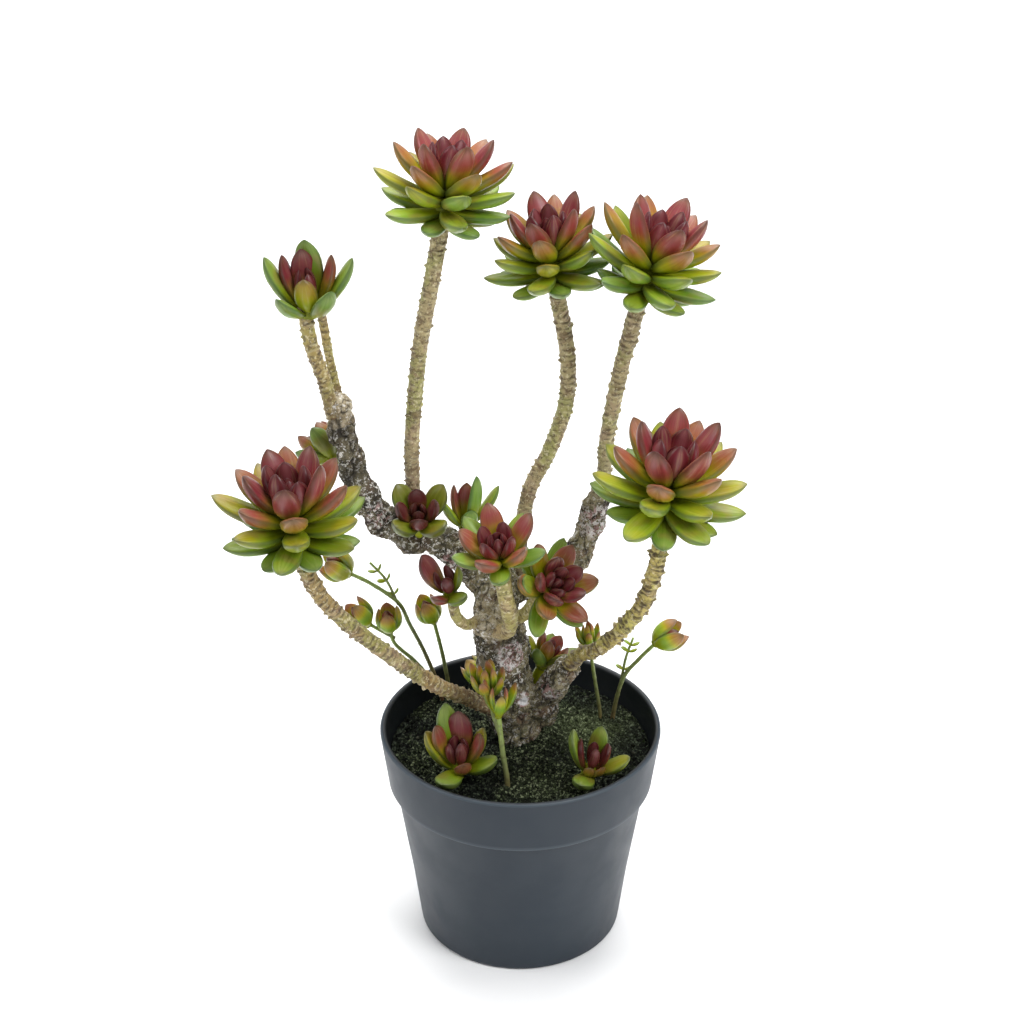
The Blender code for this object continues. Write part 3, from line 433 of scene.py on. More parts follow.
def leaf_material():
    n = Nodes("waxy_leaf")
    along, ripe, edge, own = n.mark("along"), n.mark("ripe"), n.mark("edge"), n.mark("own")
    mottle = n.grain(160, 4)
    # Redness grows towards the tip, most of all on the levels between green and red
    tip_gain = n.swing(along, 0.75)
    middle = n.spread(ripe, 0.0, 0.3, 0.12, 1.0)
    red = n.plus(ripe, n.times(tip_gain, middle))
    red = n.plus(red, n.swing(own, 0.16))
    red = n.plus(red, n.times(n.mark("upper"), 0.05))
    bud_tips = n.times(n.mark("bud"), n.spread(along, 0.55, 1.0, 0.0, 0.4))
    red = n.plus(red, bud_tips)
    red = n.plus(red, n.swing(mottle, 0.22), True)
    n.colour = n.ramp(red, [
        (0.0, 108, 146, 38), (0.12, 134, 158, 22), (0.26, 160, 156, 16), (0.40, 158, 120, 34),
        (0.52, 150, 84, 54), (0.64, 142, 60, 56), (0.80, 124, 42, 50), (1.0, 92, 24, 34),
    ])
    # Yellow-green roots on all but the reddest leaves
    root = n.times(n.spread(along, 0.66, 0.25), n.spread(ripe, 0.95, 0.5))
    n.paint(root, (148, 152, 6), 0.78)
    # Grey-green outer half on green leaves
    cool = n.times(n.spread(along, 0.45, 1.0), n.spread(red, 0.3, 0.05))
    n.paint(cool, (122, 148, 84), 0.5)
    # Blurred pinkish brown blotches halfway along, and grey-green tips below the red levels
    half = n.times(n.spread(along, 0.25, 0.5), n.spread(along, 0.9, 0.7))
    blotch = n.times(n.spread(n.grain(75, 2), 0.49, 0.62), half)
    blotch = n.times(blotch, n.spread(red, 0.55, 0.35))
    n.paint(blotch, (152, 104, 70), 0.35)
    tips = n.times(n.spread(along, 0.74, 1.0), n.spread(ripe, 0.75, 0.4))
    n.paint(tips, (118, 128, 72), 0.35)
    # A pink bloom on red leaves
    bloom = n.times(n.spread(red, 0.5, 0.75), n.spread(edge, 0.7, 0.1))
    n.paint(bloom, (176, 112, 112), 0.22)
    # Fine strands run along each leaf
    place = n.add("CombineXYZ", X=n.times(edge, 7.0), Y=n.times(along, 1.8),
                  Z=n.times(own, 40.0))
    strands = n.grain(1.0, 3, 0.6, place.outputs["Vector"])
    n.paint(n.spread(strands, 0.52, 0.68, 0.0, 0.14), (196, 188, 128))
    n.paint(n.spread(strands, 0.46, 0.32, 0.0, 0.22), (70, 62, 22))
    # A thin darker outline, then painted shade at each leaf's foot and on the shaded rosettes
    margin = n.ramp(red, [
        (0.0, 70, 98, 50), (0.35, 90, 94, 44), (0.6, 92, 62, 42), (1.0, 66, 28, 30),
    ])
    n.paint(n.spread(edge, 0.86, 1.0, 0.0, 0.7), margin)
    n.paint(n.spread(along, 0.90, 1.0, 0.0, 0.75), margin)
    # Painted shade at the foot of each leaf, where the leaves crowd together
    n.paint(n.spread(along, 0.14, 0.02, 0.0, 0.4), (40, 38, 8))
    # Painted shade over the rosettes that lie in the shade of others
    n.paint(n.mark("dim"), (44, 24, 12))
    gloss = n.spread(mottle, 0.3, 0.7, 0.32, 0.44)
    return n.finish(gloss, n.grain(700, 2), 0.12, 0.0002, (0.08, 0.003, 0.002, 0.001),
                    Coat_Weight=0.1, Coat_Roughness=0.2, Specular_IOR_Level=0.3)


def bark_material():
    n = Nodes("rough_bark")
    pale, chalk = n.mark("pale"), n.mark("chalk")
    broad, fine, dust = n.grain(85, 6, 0.75), n.grain(430, 6, 0.8), n.grain(1100, 4, 0.7)
    body = n.ramp(broad, [
        (0.34, 36, 32, 24), (0.43, 80, 72, 53), (0.50, 126, 118, 88), (0.57, 176, 164, 132),
        (0.66, 98, 88, 66),
    ])
    rust = n.spread(n.grain(110, 4, 0.6), 0.53, 0.62, 0.0, 0.5)
    body = n.mix(rust, body, (112, 74, 60))
    body = n.mix(n.times(n.mark("dusk"), 0.5), body, (50, 44, 37))
    knob = n.ramp(n.grain(200, 5, 0.65), [
        (0.30, 116, 102, 78), (0.48, 176, 160, 128), (0.66, 214, 202, 176),
    ])
    # Pale knobs with ragged edges, then dark crevices and pits
    ragged = n.spread(n.plus(pale, n.swing(n.grain(260, 4), 1.6)), 0.35, 0.65)
    n.colour = n.mix(ragged, body, knob)
    n.paint(n.spread(n.mark("deep"), 0.2, 0.9), (34, 30, 25), 0.8)
    n.paint(n.spread(fine, 0.49, 0.36), (36, 31, 26), 0.85)
    # White flecks gather in patches, most of all on the high places
    patches = n.spread(n.grain(60, 3), 0.40, 0.55, 0.35, 1.0)
    high = n.spread(n.mark("deep"), 0.7, 0.2)
    flecks = n.times(n.spread(n.grain(500, 3, 0.8), 0.545, 0.58), patches)
    flecks = n.times(flecks, high)
    shards = n.ramp(n.cells(560, out="Color"), [
        (0.25, 150, 112, 108), (0.42, 204, 172, 168), (0.60, 248, 240, 238),
    ])
    crystals = n.times(n.spread(n.grain(400, 4, 0.8), 0.47, 0.52), chalk)
    n.paint(crystals, shards, 0.95)
    n.paint(flecks, (246, 242, 236), 0.95)
    # A white crust in the ring and the spot, and moss near the soil
    crust = n.mix(n.spread(n.grain(260, 3), 0.44, 0.56), (196, 156, 152), (250, 244, 242))
    crust = n.mix(n.spread(n.mark("white"), 0.9, 1.4), crust, (252, 250, 250))
    broken = n.plus(n.grain(420, 4, 0.8), n.times(n.mark("white"), 0.15))
    broken = n.times(n.spread(broken, 0.58, 0.63), n.spread(n.mark("white"), 0.1, 0.3))
    n.paint(broken, crust)
    moss = n.times(n.mark("low"), n.spread(n.grain(240, 4), 0.50, 0.60))
    n.paint(moss, (70, 74, 46), 0.6)
    height = n.plus(fine, n.times(dust, 0.6))
    return n.finish(n.spread(flecks, 0.0, 1.0, 0.85, 0.35), height, 1.0, 0.0014)


# Stem looks: two tones that change along the stem, one at its foot, and the rings' depth
STEM_LOOKS = {
    "olive": ((156, 152, 92), (168, 152, 110), (150, 130, 108), 0.85),
    "tan": ((156, 148, 78), (162, 142, 84), (138, 116, 78), 0.9),
    "cream": ((156, 148, 84), (168, 154, 94), (168, 146, 108), 0.45),
    "yellow": ((196, 186, 100), (182, 164, 88), (138, 120, 64), 1.6),
    "brown": ((142, 136, 72), (152, 128, 78), (116, 88, 68), 1.0),
}


def stem_material(look):
    first, second, foot, _ = STEM_LOOKS[look]
    n = Nodes("ringed_" + look)
    scar, groove, age = n.mark("scar"), n.mark("groove"), n.mark("age")
    broad, fine = n.grain(42, 4, 0.6), n.grain(520, 5, 0.75)
    n.colour = n.mix(n.spread(broad, 0.44, 0.56), first, second)
    n.paint(n.spread(age, 0.36, 0.04), foot, 0.85)
    # Brown, pinkish and dark blotches of two to four millimetres
    n.paint(n.spread(n.grain(190, 4, 0.65), 0.52, 0.60), (108, 82, 56), 0.7)
    n.paint(n.spread(n.grain(120, 3, 0.5), 0.56, 0.66), (176, 146, 126), 0.35)
    n.paint(n.spread(fine, 0.50, 0.38), (74, 58, 38), 0.75)
    n.paint(n.spread(n.grain(560, 3, 0.7), 0.56, 0.63), (222, 212, 174), 0.6)
    # Cream lips and dark grooves, both broken
    cream = n.times(scar, n.spread(n.grain(300, 3), 0.42, 0.56))
    n.paint(cream, (206, 194, 152), 0.7)
    dark = n.times(groove, n.spread(n.grain(240, 3), 0.40, 0.54))
    n.paint(dark, (60, 46, 32), 0.85)
    return n.finish(n.spread(fine, 0.3, 0.7, 0.48, 0.66), fine, 0.7, 0.0007,
                    (0.05, 0.002, 0.0015, 0.0008))


def sprig_material():
    n = Nodes("thin_stem")
    age, fine = n.mark("age"), n.grain(400, 3)
    n.colour = n.ramp(age, [
        (0.1, 118, 78, 58), (0.3, 116, 108, 68), (0.55, 130, 140, 88), (1.0, 130, 150, 72),
    ])
    n.paint(n.spread(fine, 0.5, 0.35), (78, 64, 40), 0.4)
    return n.finish(n.spread(fine, 0.3, 0.7, 0.4, 0.55), fine, 0.3, 0.0003,
                    (0.1, 0.002, 0.002, 0.001))


def soil_material():
    n = Nodes("granular_soil")
    fine, patch = n.grain(900, 5, 0.75), n.grain(36, 3)
    # Greener places lean to the brighter tones, partly moss and partly painted light where the
    # plant shades the soil
    patch = n.plus(patch, n.times(n.mark("moss"), 0.18))
    grain_tone = n.plus(n.cells(780, out="Color"), n.times(fine, 0.4))
    gap = n.spread(n.cells(780, "DISTANCE_TO_EDGE"), 0.0, 0.14)
    dark = n.ramp(grain_tone, [
        (0.3, 6, 8, 6), (0.62, 24, 28, 21), (0.80, 44, 50, 39), (0.97, 70, 78, 64),
    ])
    bright = n.ramp(grain_tone, [
        (0.3, 16, 20, 12), (0.6, 46, 54, 36), (0.80, 74, 84, 58), (0.97, 120, 128, 100),
    ])
    n.colour = n.mix(n.spread(patch, 0.46, 0.60), dark, bright)
    n.paint(n.minus(1.0, gap), (2, 3, 2))
    # Moss green on the greener places, lightened as painted light where the plant shades the soil
    n.paint(n.mark("moss"), (92, 102, 66), 0.35)
    n.paint(n.mark("green"), (50, 60, 34))
    n.paint(n.mark("light"), (140, 138, 120))
    height = n.plus(gap, n.times(fine, 0.8))
    return n.finish(0.9, height, 1.0, 0.0014, Specular_IOR_Level=0.12)


def pot_material():
    n = Nodes("anthracite_plastic")
    fine = n.grain(1400, 2, 0.6)
    n.colour = n.ramp(n.grain(12, 2), [(0.3, 27, 37, 47), (0.7, 31, 42, 52)])
    # Painted shade on the pot's inside
    n.paint(n.mark("inside"), (22, 26, 29))
    # Painted highlights on the lip and along the band's lower edge
    n.paint(n.mark("edge"), (112, 122, 130), 0.18)
    return n.finish(n.spread(n.grain(60, 3), 0.3, 0.7, 0.42, 0.52), fine, 0.12, 0.0002,
                    Specular_IOR_Level=0.4)


# Surfaces

def new_object(name, data):
    thing = bpy.data.objects.new(name, data)
    bpy.context.scene.collection.objects.link(thing)
    return thing


def set_marks(mesh, marks):
    for key in sorted(marks):
        mesh.attributes.new(key, "FLOAT", "POINT").data.foreach_set("value", marks[key])


class Shell:
    """Closed surfaces that make one piece, with named marks on their points."""

    def __init__(self):
        self.points = []
        self.faces = []
        self.marks = []
        self.count = 0

    def add(self, points, faces, **marks):
        points = np.asarray(points, float)
        self.points.append(points)
        self.faces.extend(tuple(i + self.count for i in face) for face in faces)
        self.marks.append({key: np.broadcast_to(np.asarray(value, float), (len(points),))
                           for key, value in marks.items()})
        self.count += len(points)

    def tube(self, route, radii, sides, **marks):
        self.add(swept(route, radii, sides), tube_faces(len(route), sides), **marks)

    def build(self, name, materials, slots=None):
        mesh = bpy.data.meshes.new(name)
        mesh.from_pydata((np.vstack(self.points) * MM).tolist(), [], self.faces)
        mesh.update()
        set_marks(mesh, {
            key: np.concatenate([marks.get(key, np.zeros(len(points)))
                                 for marks, points in zip(self.marks, self.points)])
            for key in {key for marks in self.marks for key in marks}})
        for material in materials:
            mesh.materials.append(material)
        if slots is not None:
            mesh.polygons.foreach_set("material_index", slots)
        mesh.shade_smooth()
        return new_object(name, mesh)


def circle(sides):
    return np.linspace(0, 2 * np.pi, sides, endpoint=False)


def level_ring(radius, height, angle):
    return np.column_stack([radius * np.cos(angle), radius * np.sin(angle),
                            np.full(len(angle), height)])


def ball(subdivisions, radius):
    """Corners and faces of a ball."""
    mesh = bmesh.new()
    bmesh.ops.create_icosphere(mesh, subdivisions=subdivisions, radius=radius)
    corners = np.array([vert.co[:] for vert in mesh.verts])
    faces = [[vert.index for vert in face.verts] for face in mesh.faces]
    mesh.free()
    return corners, faces


def tube_faces(rings, sides):
    """Faces of a closed tube whose points are its rings and then a pole for each end."""
    faces = []
    for ring in range(rings - 1):
        a = ring * sides
        for k in range(sides):
            b = (k + 1) % sides
            faces.append((a + k, a + b, a + sides + b, a + sides + k))
    start = rings * sides
    last = start - sides
    for k in range(sides):
        b = (k + 1) % sides
        faces.append((start, b, k))
        faces.append((start + 1, last + k, last + b))
    return faces


def spline(points, step):
    """Points a step apart on a smooth curve through the given ones, and their distances."""
    points = np.array(points, float)
    ends = np.vstack([2 * points[0] - points[1], points, 2 * points[-1] - points[-2]])
    share = np.linspace(0, 1, SPLINE_CUTS, endpoint=False)[:, None]
    dense = []
    for k in range(1, len(ends) - 2):
        before, start, end, after = ends[k - 1:k + 3]
        dense.append(0.5 * (2 * start + (end - before) * share
                            + (2 * before - 5 * start + 4 * end - after) * share ** 2
                            + (3 * start - before - 3 * end + after) * share ** 3))
    dense = np.vstack(dense + [points[-1:]])
    steps = np.linalg.norm(np.diff(dense[:, :3], axis=0), axis=1)
    total = np.concatenate([[0], np.cumsum(steps)])
    at = np.linspace(0, total[-1], max(2, round(total[-1] / step)) + 1)
    return np.column_stack([np.interp(at, total, column) for column in dense.T]), at


def frames_along(route):
    """Two directions across the route at each of its points, carried along without twist."""
    forward = np.gradient(route[:, :3], axis=0)
    forward /= np.linalg.norm(forward, axis=1)[:, None]
    across = np.cross(forward[0], (0, 1, 0) if abs(forward[0][1]) < 0.9 else (1, 0, 0))
    first = []
    for direction in forward:
        across = across - direction * across.dot(direction)
        across /= np.linalg.norm(across)
        first.append(across)
    first = np.array(first)
    return first, np.cross(forward, first)


def swept(route, radii, sides):
    """Points of a tube's rings and then its two poles; radii are for rings, or rings and sides."""
    first, second = frames_along(route)
    angle = circle(sides)
    rings = (route[:, None, :3] + np.reshape(radii, (len(route), -1, 1))
             * (np.cos(angle)[None, :, None] * first[:, None]
                + np.sin(angle)[None, :, None] * second[:, None]))
    return np.vstack([rings.reshape(-1, 3), route[:1, :3], route[-1:, :3]])


def hump(value, middle, width):
    """Rounded bump that is 1 at its middle."""
    return np.exp(-((value - middle) / width) ** 2)


def rough(points, scale):
    """Smooth noise at each point; a larger scale has smaller lumps."""
    return np.array([noise.noise(Vector(point) * scale) for point in points])


def with_poles(values, start, end):
    """Marks of a tube's points: those of its rings and then those of its two poles."""
    return np.concatenate([np.ravel(values), [start, end]])


# Leaves

def leaf_width(t):
    rise = LEAF_ROOT_SHARE + (1 - LEAF_ROOT_SHARE) * np.sin(0.5 * np.pi * t / LEAF_WIDEST)
    past = np.maximum(t - LEAF_WIDEST, 0) / (1 - LEAF_WIDEST)
    fall = (1 - past ** LEAF_TIP_POWER) ** LEAF_TIP_ROUND
    return np.where(t < LEAF_WIDEST, rise, fall)


def leaf_points(length, width, curl, draw, rings=LEAF_RINGS, sides=LEAF_SIDES):
    """Points of one fleshy leaf along +X with its upper face at +Z, and its marks."""
    t = 0.5 - 0.5 * np.cos(np.pi * np.arange(1, rings + 1) / (rings + 1))
    angle = circle(sides)
    closing = np.sqrt(1 - (1 - np.minimum(t / LEAF_CLOSING, 1)) ** 2)
    half = 0.5 * width * leaf_width(t) * closing
    side, rise = np.cos(angle), np.sin(angle)
    thick = (np.where(rise > 0, LEAF_ABOVE, LEAF_BELOW)
             * np.abs(rise) ** LEAF_BELLY_POWER * np.sign(rise))
    sway = draw.uniform(-0.05, 0.05) * length
    lift = curl + draw.uniform(-0.03, 0.03)
    ridge = 0.05 * hump(side, 0, 0.22) * np.sign(rise)
    wave = 0.03 * np.sin(t * 9 + draw.uniform(0, 6))
    points = np.stack([
        np.broadcast_to(length * t[:, None], (rings, sides)),
        half[:, None] * side[None] + (sway * t ** 2)[:, None],
        half[:, None] * (thick + ridge)[None] + (lift * length * t ** 2)[:, None]
        + (wave * half)[:, None] * side[None],
    ], axis=2).reshape(-1, 3)
    points = np.vstack([points, (0, 0, 0), (length, sway, lift * length)])
    return points, {"along": with_poles(np.repeat(t, sides), 0, 1),
                    "edge": with_poles(np.tile(np.abs(side), rings), 0, 1),
                    "upper": with_poles(np.tile(rise, rings), 0, 0)}


def leaf_plan(rows, size, turn, seed):
    """Every leaf of a rosette, as in the part's source, with the number of its row."""
    draw = random.Random(seed)
    for k, (count, elevation, length, width, height, out, row_turn) in enumerate(rows):
        for i in range(count):
            yield (k, math.radians(elevation + draw.uniform(-ELEVATION_JITTER, ELEVATION_JITTER)),
                   2 * math.pi * i / count
                   + math.radians(turn + row_turn + draw.uniform(-TURN_JITTER, TURN_JITTER)),
                   size * length * (1 + draw.uniform(-LENGTH_JITTER, LENGTH_JITTER)),
                   size * width, size * height, size * out)


def axis_frame(foot, lean):
    turn = Vector((0, 0, 1)).rotation_difference(Vector(lean).normalized())
    return Matrix.Translation(foot) @ turn.to_matrix().to_4x4()


def leaf_frame(elevation, azimuth, height, out):
    """Place of a leaf's root and its lean, seen from the rosette's axis."""
    return (Matrix.Rotation(azimuth, 4, "Z") @ Matrix.Translation((out, 0, height))
            @ Matrix.Rotation(-elevation, 4, "Y"))


def moved(points, matrix):
    turn = np.array(matrix)
    return points @ turn[:3, :3].T + turn[:3, 3]


def solid_tree(node):
    """Search tree of a solid's corners, in millimetres."""
    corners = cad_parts[node].data.vertices
    tree = KDTree(len(corners))
    for k, corner in enumerate(corners):
        tree.insert(corner.co / MM, k)
    tree.balance()
    return tree


def add_leaves(shell, tree, foot, lean, kind, size, turn, seed, shift, dim):
    """Fine leaves where the solid has its leaves."""
    base = axis_frame(foot, lean)
    faces = tube_faces(LEAF_RINGS, LEAF_SIDES)
    draw = random.Random(seed + "_fine")
    curl, rows, ripeness = KINDS[kind][2:]
    for row, elevation, azimuth, length, width, height, out in leaf_plan(rows, size, turn, seed):
        for raised, share in BENDS:
            matrix = base @ leaf_frame(elevation + math.radians(raised), azimuth, height, out)
            tip = matrix @ Vector((length * share, 0, curl * length * share))
            if tree.find(tip)[2] < TIP_MATCH:
                break
        else:
            # The stem leaves no room for this leaf in the solids
            matrix, share = base @ leaf_frame(elevation, azimuth, height, out), 1.0
        points, marks = leaf_points(length * share, width * share, curl, draw)
        shell.add(moved(points, matrix), faces, ripe=ripeness[row] + shift,
                  own=draw.random(), dim=dim, bud=float(kind.endswith("BUD")), **marks)


def add_core(shell, foot, lean, kind, size):
    """Rounded core that the leaves stand out of."""
    radius, height = KINDS[kind][:2]
    rings, sides = 8, 14
    t = (np.arange(rings) + 0.5) / rings
    radii = size * radius * (1 - 0.45 * t) * np.sqrt(1 - (2 * t - 1) ** 8)
    route = np.column_stack([np.zeros(rings), np.zeros(rings), size * height * t - CORE_SUNK])
    points = moved(swept(route, radii, sides), axis_frame(foot, lean))
    shell.add(points, tube_faces(rings, sides), along=0.05, edge=0.0, ripe=0.15, own=0.5)


def make_rosette(name, material):
    foot, lean, kind, size, turn, stalk, shift, dim = ROSETTES[name]
    node = "rosette_" + name
    shell = Shell()
    add_core(shell, foot, lean, kind, size)
    add_leaves(shell, solid_tree(node), foot, lean, kind, size, turn, node, shift, dim)
    if stalk:
        ends = foot + np.outer((-stalk, 2), Vector(lean).normalized())
        route, _ = spline(ends, 1.0)
        shell.tube(route, np.full(len(route), STALK_R), STALK_SIDES, along=0.2, edge=0.2,
                   ripe=0.2, own=0.5)
    finish_piece(shell.build(node + "_leaves", [material]), "leaf_skin", node)


def finish_piece(piece, slot, *nodes):
    """Let a piece ride on the plant's one body in place of its solids."""
    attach(piece, "root")
    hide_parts(*nodes)


# Stems

def ring_phase(at, draw):
    """Count of rings up to each distance, with every ring a little longer or shorter."""
    starts = [0.0]
    while starts[-1] < at[-1]:
        starts.append(starts[-1] + RING_PITCH * draw.uniform(0.8, 1.25))
    return np.interp(at, starts, np.arange(len(starts)))


def make_stem(name, materials):
    """Stem with a lip above and a groove below each of its broken rings."""
    points, foot_radius, top_radius, look = STEMS[name]
    depth = STEM_LOOKS[look][-1]
    route, at = spline(points, RING_PITCH / 6)
    angle = circle(STEM_SIDES)
    draw = random.Random("stem_" + name)
    start = draw.uniform(0, 6)
    wander = np.array([[noise.noise((0.9 * math.cos(a), 0.9 * math.sin(a), 0.12 * s + start))
                        for a in angle] for s in at])
    phase = ring_phase(at, draw)[:, None] + 0.5 * wander
    ring = np.floor(phase)
    share = phase - ring
    lip = hump(share, LIP_AT, LIP_WIDTH)
    wide = 0.09 + 0.06 * depth
    groove = hump(share, 0.03, wide) + hump(share, 1.03, wide)
    spots = np.array([[noise.noise((1.2 * math.cos(a), 1.2 * math.sin(a), 3.7 * r + start))
                       for a, r in zip(angle, row)] for row in ring])
    bump = np.clip(spots + 0.06, 0, 1)
    mean = foot_radius + (top_radius - foot_radius) * at / at[-1]
    broken = depth * np.clip(0.75 + 1.6 * spots, 0.2, 1.2)
    radii = mean[:, None] * (0.97 + broken * (0.04 * share + 0.05 * lip - 0.05 * groove))
    radii += 1.5 * depth * bump * lip * (mean[:, None] / 3.4)
    skin = swept(route, radii, STEM_SIDES)
    skin[:-2] += STEM_WOBBLE * np.array([
        noise.noise_vector(Vector(point) * 0.55) for point in skin[:-2]])
    shell = Shell()
    shell.add(skin, tube_faces(len(route), STEM_SIDES),
              scar=with_poles(np.clip(lip * (0.2 + 1.8 * bump), 0, 1), 0, 0),
              groove=with_poles(np.clip(groove * broken, 0, 1), 0, 0),
              age=with_poles(np.repeat(at / at[-1], STEM_SIDES), 0, 1))
    node = "stem_" + name
    finish_piece(shell.build(node + "_skin", [materials[look]]), "stem_skin", node)


# Sprigs

def thin_stem(shell, points, foot_radius, top_radius, first):
    """Thin stem with swollen joints; a side branch is as green as an older part of the first."""
    route, at = spline(points, SPRIG_STEP)
    mean = foot_radius + (top_radius - foot_radius) * at / at[-1]
    joints = 0.12 * hump(at / JOINT_PITCH % 1, 0.5, 0.08)
    age = at / at[-1] if first else 0.4 + 0.6 * at / at[-1]
    shell.tube(route, mean * (1 + joints), SPRIG_SIDES,
               age=with_poles(np.repeat(age, SPRIG_SIDES), 0, 1))


def add_twig_leaf(shell, start, end, side, draw):
    along = (Vector(end) - Vector(start)).normalized()
    out = (along * 0.6 + along.cross(Vector((0, 1, 0))) * side).normalized()
    turn = Vector((1, 0, 0)).rotation_difference(out).to_matrix().to_4x4()
    rings, sides = 8, 10
    points, marks = leaf_points(*TWIG_LEAF, draw, rings, sides)
    shell.add(moved(points, Matrix.Translation(start) @ turn), tube_faces(rings, sides), ripe=0.08,
              own=0.5, **marks)


def make_sprig(name, leaf, stem):
    stems, buds, twig = SPRIGS[name]
    node = "sprig_" + name
    shell = Shell()
    for k, (points, foot_radius, top_radius) in enumerate(stems):
        thin_stem(shell, points, foot_radius, top_radius, k == 0)
    stem_faces = len(shell.faces)
    tree = solid_tree(node)
    for k, (foot, lean, kind, size, turn) in enumerate(buds):
        seed = node + "_bud_" + str(k + 1)
        add_core(shell, foot, lean, kind, size)
        add_leaves(shell, tree, foot, lean, kind, size, turn, seed, 0.0, 0.0)
    draw = random.Random(node)
    for start, end in zip(twig, twig[1:]):
        for side in (-1, 1):
            add_twig_leaf(shell, start, end, side, draw)
    slots = [int(k >= stem_faces) for k in range(len(shell.faces))]
    finish_piece(shell.build(node + "_plant", [stem, leaf], slots), "sprig_skin", node)


# Bark

def bark_surface(shell, points, twist, lumps, seed):
    """Tube whose lobes wind about it and whose lumps swell and narrow it."""
    route, at = spline(points, BARK_STEP)
    sides = 28
    angle, far = circle(sides), at[:, None]
    lobes = (1 + twist * np.sin(2 * angle + far * 0.16 + seed)
             + 0.5 * twist * np.sin(3 * angle - far * 0.11 + 2 * seed)
             + lumps * np.sin(far * 0.42 + 1.2 * np.sin(angle + seed)))
    shell.tube(route, route[:, 3:] * lobes, sides)


def wound_surface(shell, points, strands, offset, share, pitch):
    """Strands wound about a route like a rope, each a share of the route's radius."""
    route, at = spline(points, BARK_STEP)
    first, second = frames_along(route)
    sides = 20
    grown = np.clip(at / 14, 0.3, 1)
    for k in range(strands):
        turn = 2 * np.pi * (k / strands + at / pitch)
        away = (offset * grown * route[:, 3])[:, None]
        strand = route.copy()
        strand[:, :3] += away * (np.cos(turn)[:, None] * first + np.sin(turn)[:, None] * second)
        swell = 1 + 0.10 * np.sin(at * 0.47 + 2.4 * k) + 0.06 * np.sin(at * 0.23 + k)
        shell.tube(strand, share * route[:, 3] * swell, sides)


def crevices(points, scale, width):
    """How deep a point lies in winding crevices, from 0 to 1."""
    return np.clip(1 - np.abs(rough(points, scale)) / width, 0, 1)


def bark_form():
    """Mesh of the trunk, limbs and knobs, blended into one skin."""
    shell = Shell()
    bark_surface(shell, TRUNK, 0.05, 0.03, 0.4)
    wound_surface(shell, LEFT_LIMB, 2, 0.42, 0.72, 34.0)
    wound_surface(shell, RIGHT_LIMB, 2, 0.30, 0.80, 44.0)
    bark_surface(shell, LOW_LIMB, 0.08, 0.06, 4.2)
    corners, faces = ball(3, KNOB_SHARE)
    for centre, radii in KNOBS:
        shell.add(corners * radii + centre, faces)
    form = shell.build("bark_form", [])
    remesh = form.modifiers.new("blend", "REMESH")
    remesh.mode = "VOXEL"
    remesh.voxel_size = BARK_VOXEL * MM
    smooth = form.modifiers.new("soften", "SMOOTH")
    smooth.iterations = 3
    bpy.context.view_layer.update()
    graph = bpy.context.evaluated_depsgraph_get()
    mesh = bpy.data.meshes.new_from_object(form.evaluated_get(graph))
    bpy.data.objects.remove(form)
    return mesh


def white_crust(points):
    """How white the ring and the spot on the front of the trunk are."""
    x, y, z = points.T
    around = np.hypot(x - RING_SPOT[0], 0.8 * (z - RING_SPOT[1]))
    ring = np.maximum((z < RING_SPOT[1] + 2) * hump(around, RING_REACH, RING_WIDTH),
                      0.6 * hump(around, RING_REACH, RING_BACK_WIDTH))
    away = np.hypot(x - WHITE_SPOT[0], 0.8 * (z - WHITE_SPOT[1]))
    return np.maximum(0.85 * ring, 2.0 * np.exp(-(away / SPOT_REACH) ** 4)) * (y < FRONT_Y)


def bark_marks(points):
    """Pale knobs, chalky places, white crust, darker parts and mossy foot of the bark."""
    x, _, z = points.T
    pale = np.zeros(len(points))
    for centre, radii in PALE_KNOBS:
        away = np.linalg.norm((points - centre) / np.add(radii, 1.0), axis=1)
        pale = np.maximum(pale, np.clip((1.45 - away) / 0.4, 0, 1))
    chalk = np.zeros(len(points))
    for centre, reach in CHALK:
        away = np.linalg.norm(points - centre, axis=1) / reach
        chalk = np.maximum(chalk, np.clip((1 - away) / 0.35, 0, 1))
    limb = np.clip((DUSK_LIMB_X - x) / 12, 0, 1)
    trunk = np.clip((DUSK_TRUNK_X - x) / 6, 0, 1) * (z < DUSK_TOP)
    return {"pale": pale, "chalk": chalk, "white": white_crust(points),
            "dusk": np.maximum(limb, 0.9 * trunk),
            "low": np.clip((MOSSY_BARK_TOP - z) / 14, 0, 1)}


def make_bark(material):
    mesh = bark_form()
    points = np.empty(len(mesh.vertices) * 3)
    normals = np.empty(len(mesh.vertices) * 3)
    mesh.vertices.foreach_get("co", points)
    mesh.vertices.foreach_get("normal", normals)
    points = points.reshape(-1, 3) / MM
    cracks = crevices(points * (1, 1, 0.45), 0.20, 0.10)
    small = crevices(points * (1, 1, 0.6), 0.45, 0.12)
    relief = (1.1 * rough(points, 0.11) + 0.8 * rough(points, 0.28) + 0.6 * rough(points, 0.7)
              + 0.4 * rough(points, 1.5) - 0.7 * cracks - 0.4 * small)
    # The foot in the soil stays smooth
    above = np.clip((points[:, 2] - ROUGH_BARK_FOOT) / 6, 0, 1)
    points = points + normals.reshape(-1, 3) * (relief * above)[:, None]
    mesh.vertices.foreach_set("co", (points * MM).ravel())
    set_marks(mesh, {"deep": np.maximum(cracks, 0.7 * small), **bark_marks(points)})
    mesh.update()
    mesh.materials.clear()
    mesh.materials.append(material)
    mesh.shade_smooth()
    finish_piece(new_object("bark", mesh), "bark", "trunk")


# Soil

def soil_top(x, y, edge):
    """Height of the mound with its relief."""
    flat = np.column_stack([x, y, np.zeros(len(x))])
    relief = 0.9 * rough(flat, 0.09) + 1.1 * rough(flat, 0.36) + 0.9 * rough(flat, 0.9)
    return SOIL_TOP + SOIL_MOUND * (1 - (np.hypot(x, y) / edge) ** 2) + relief


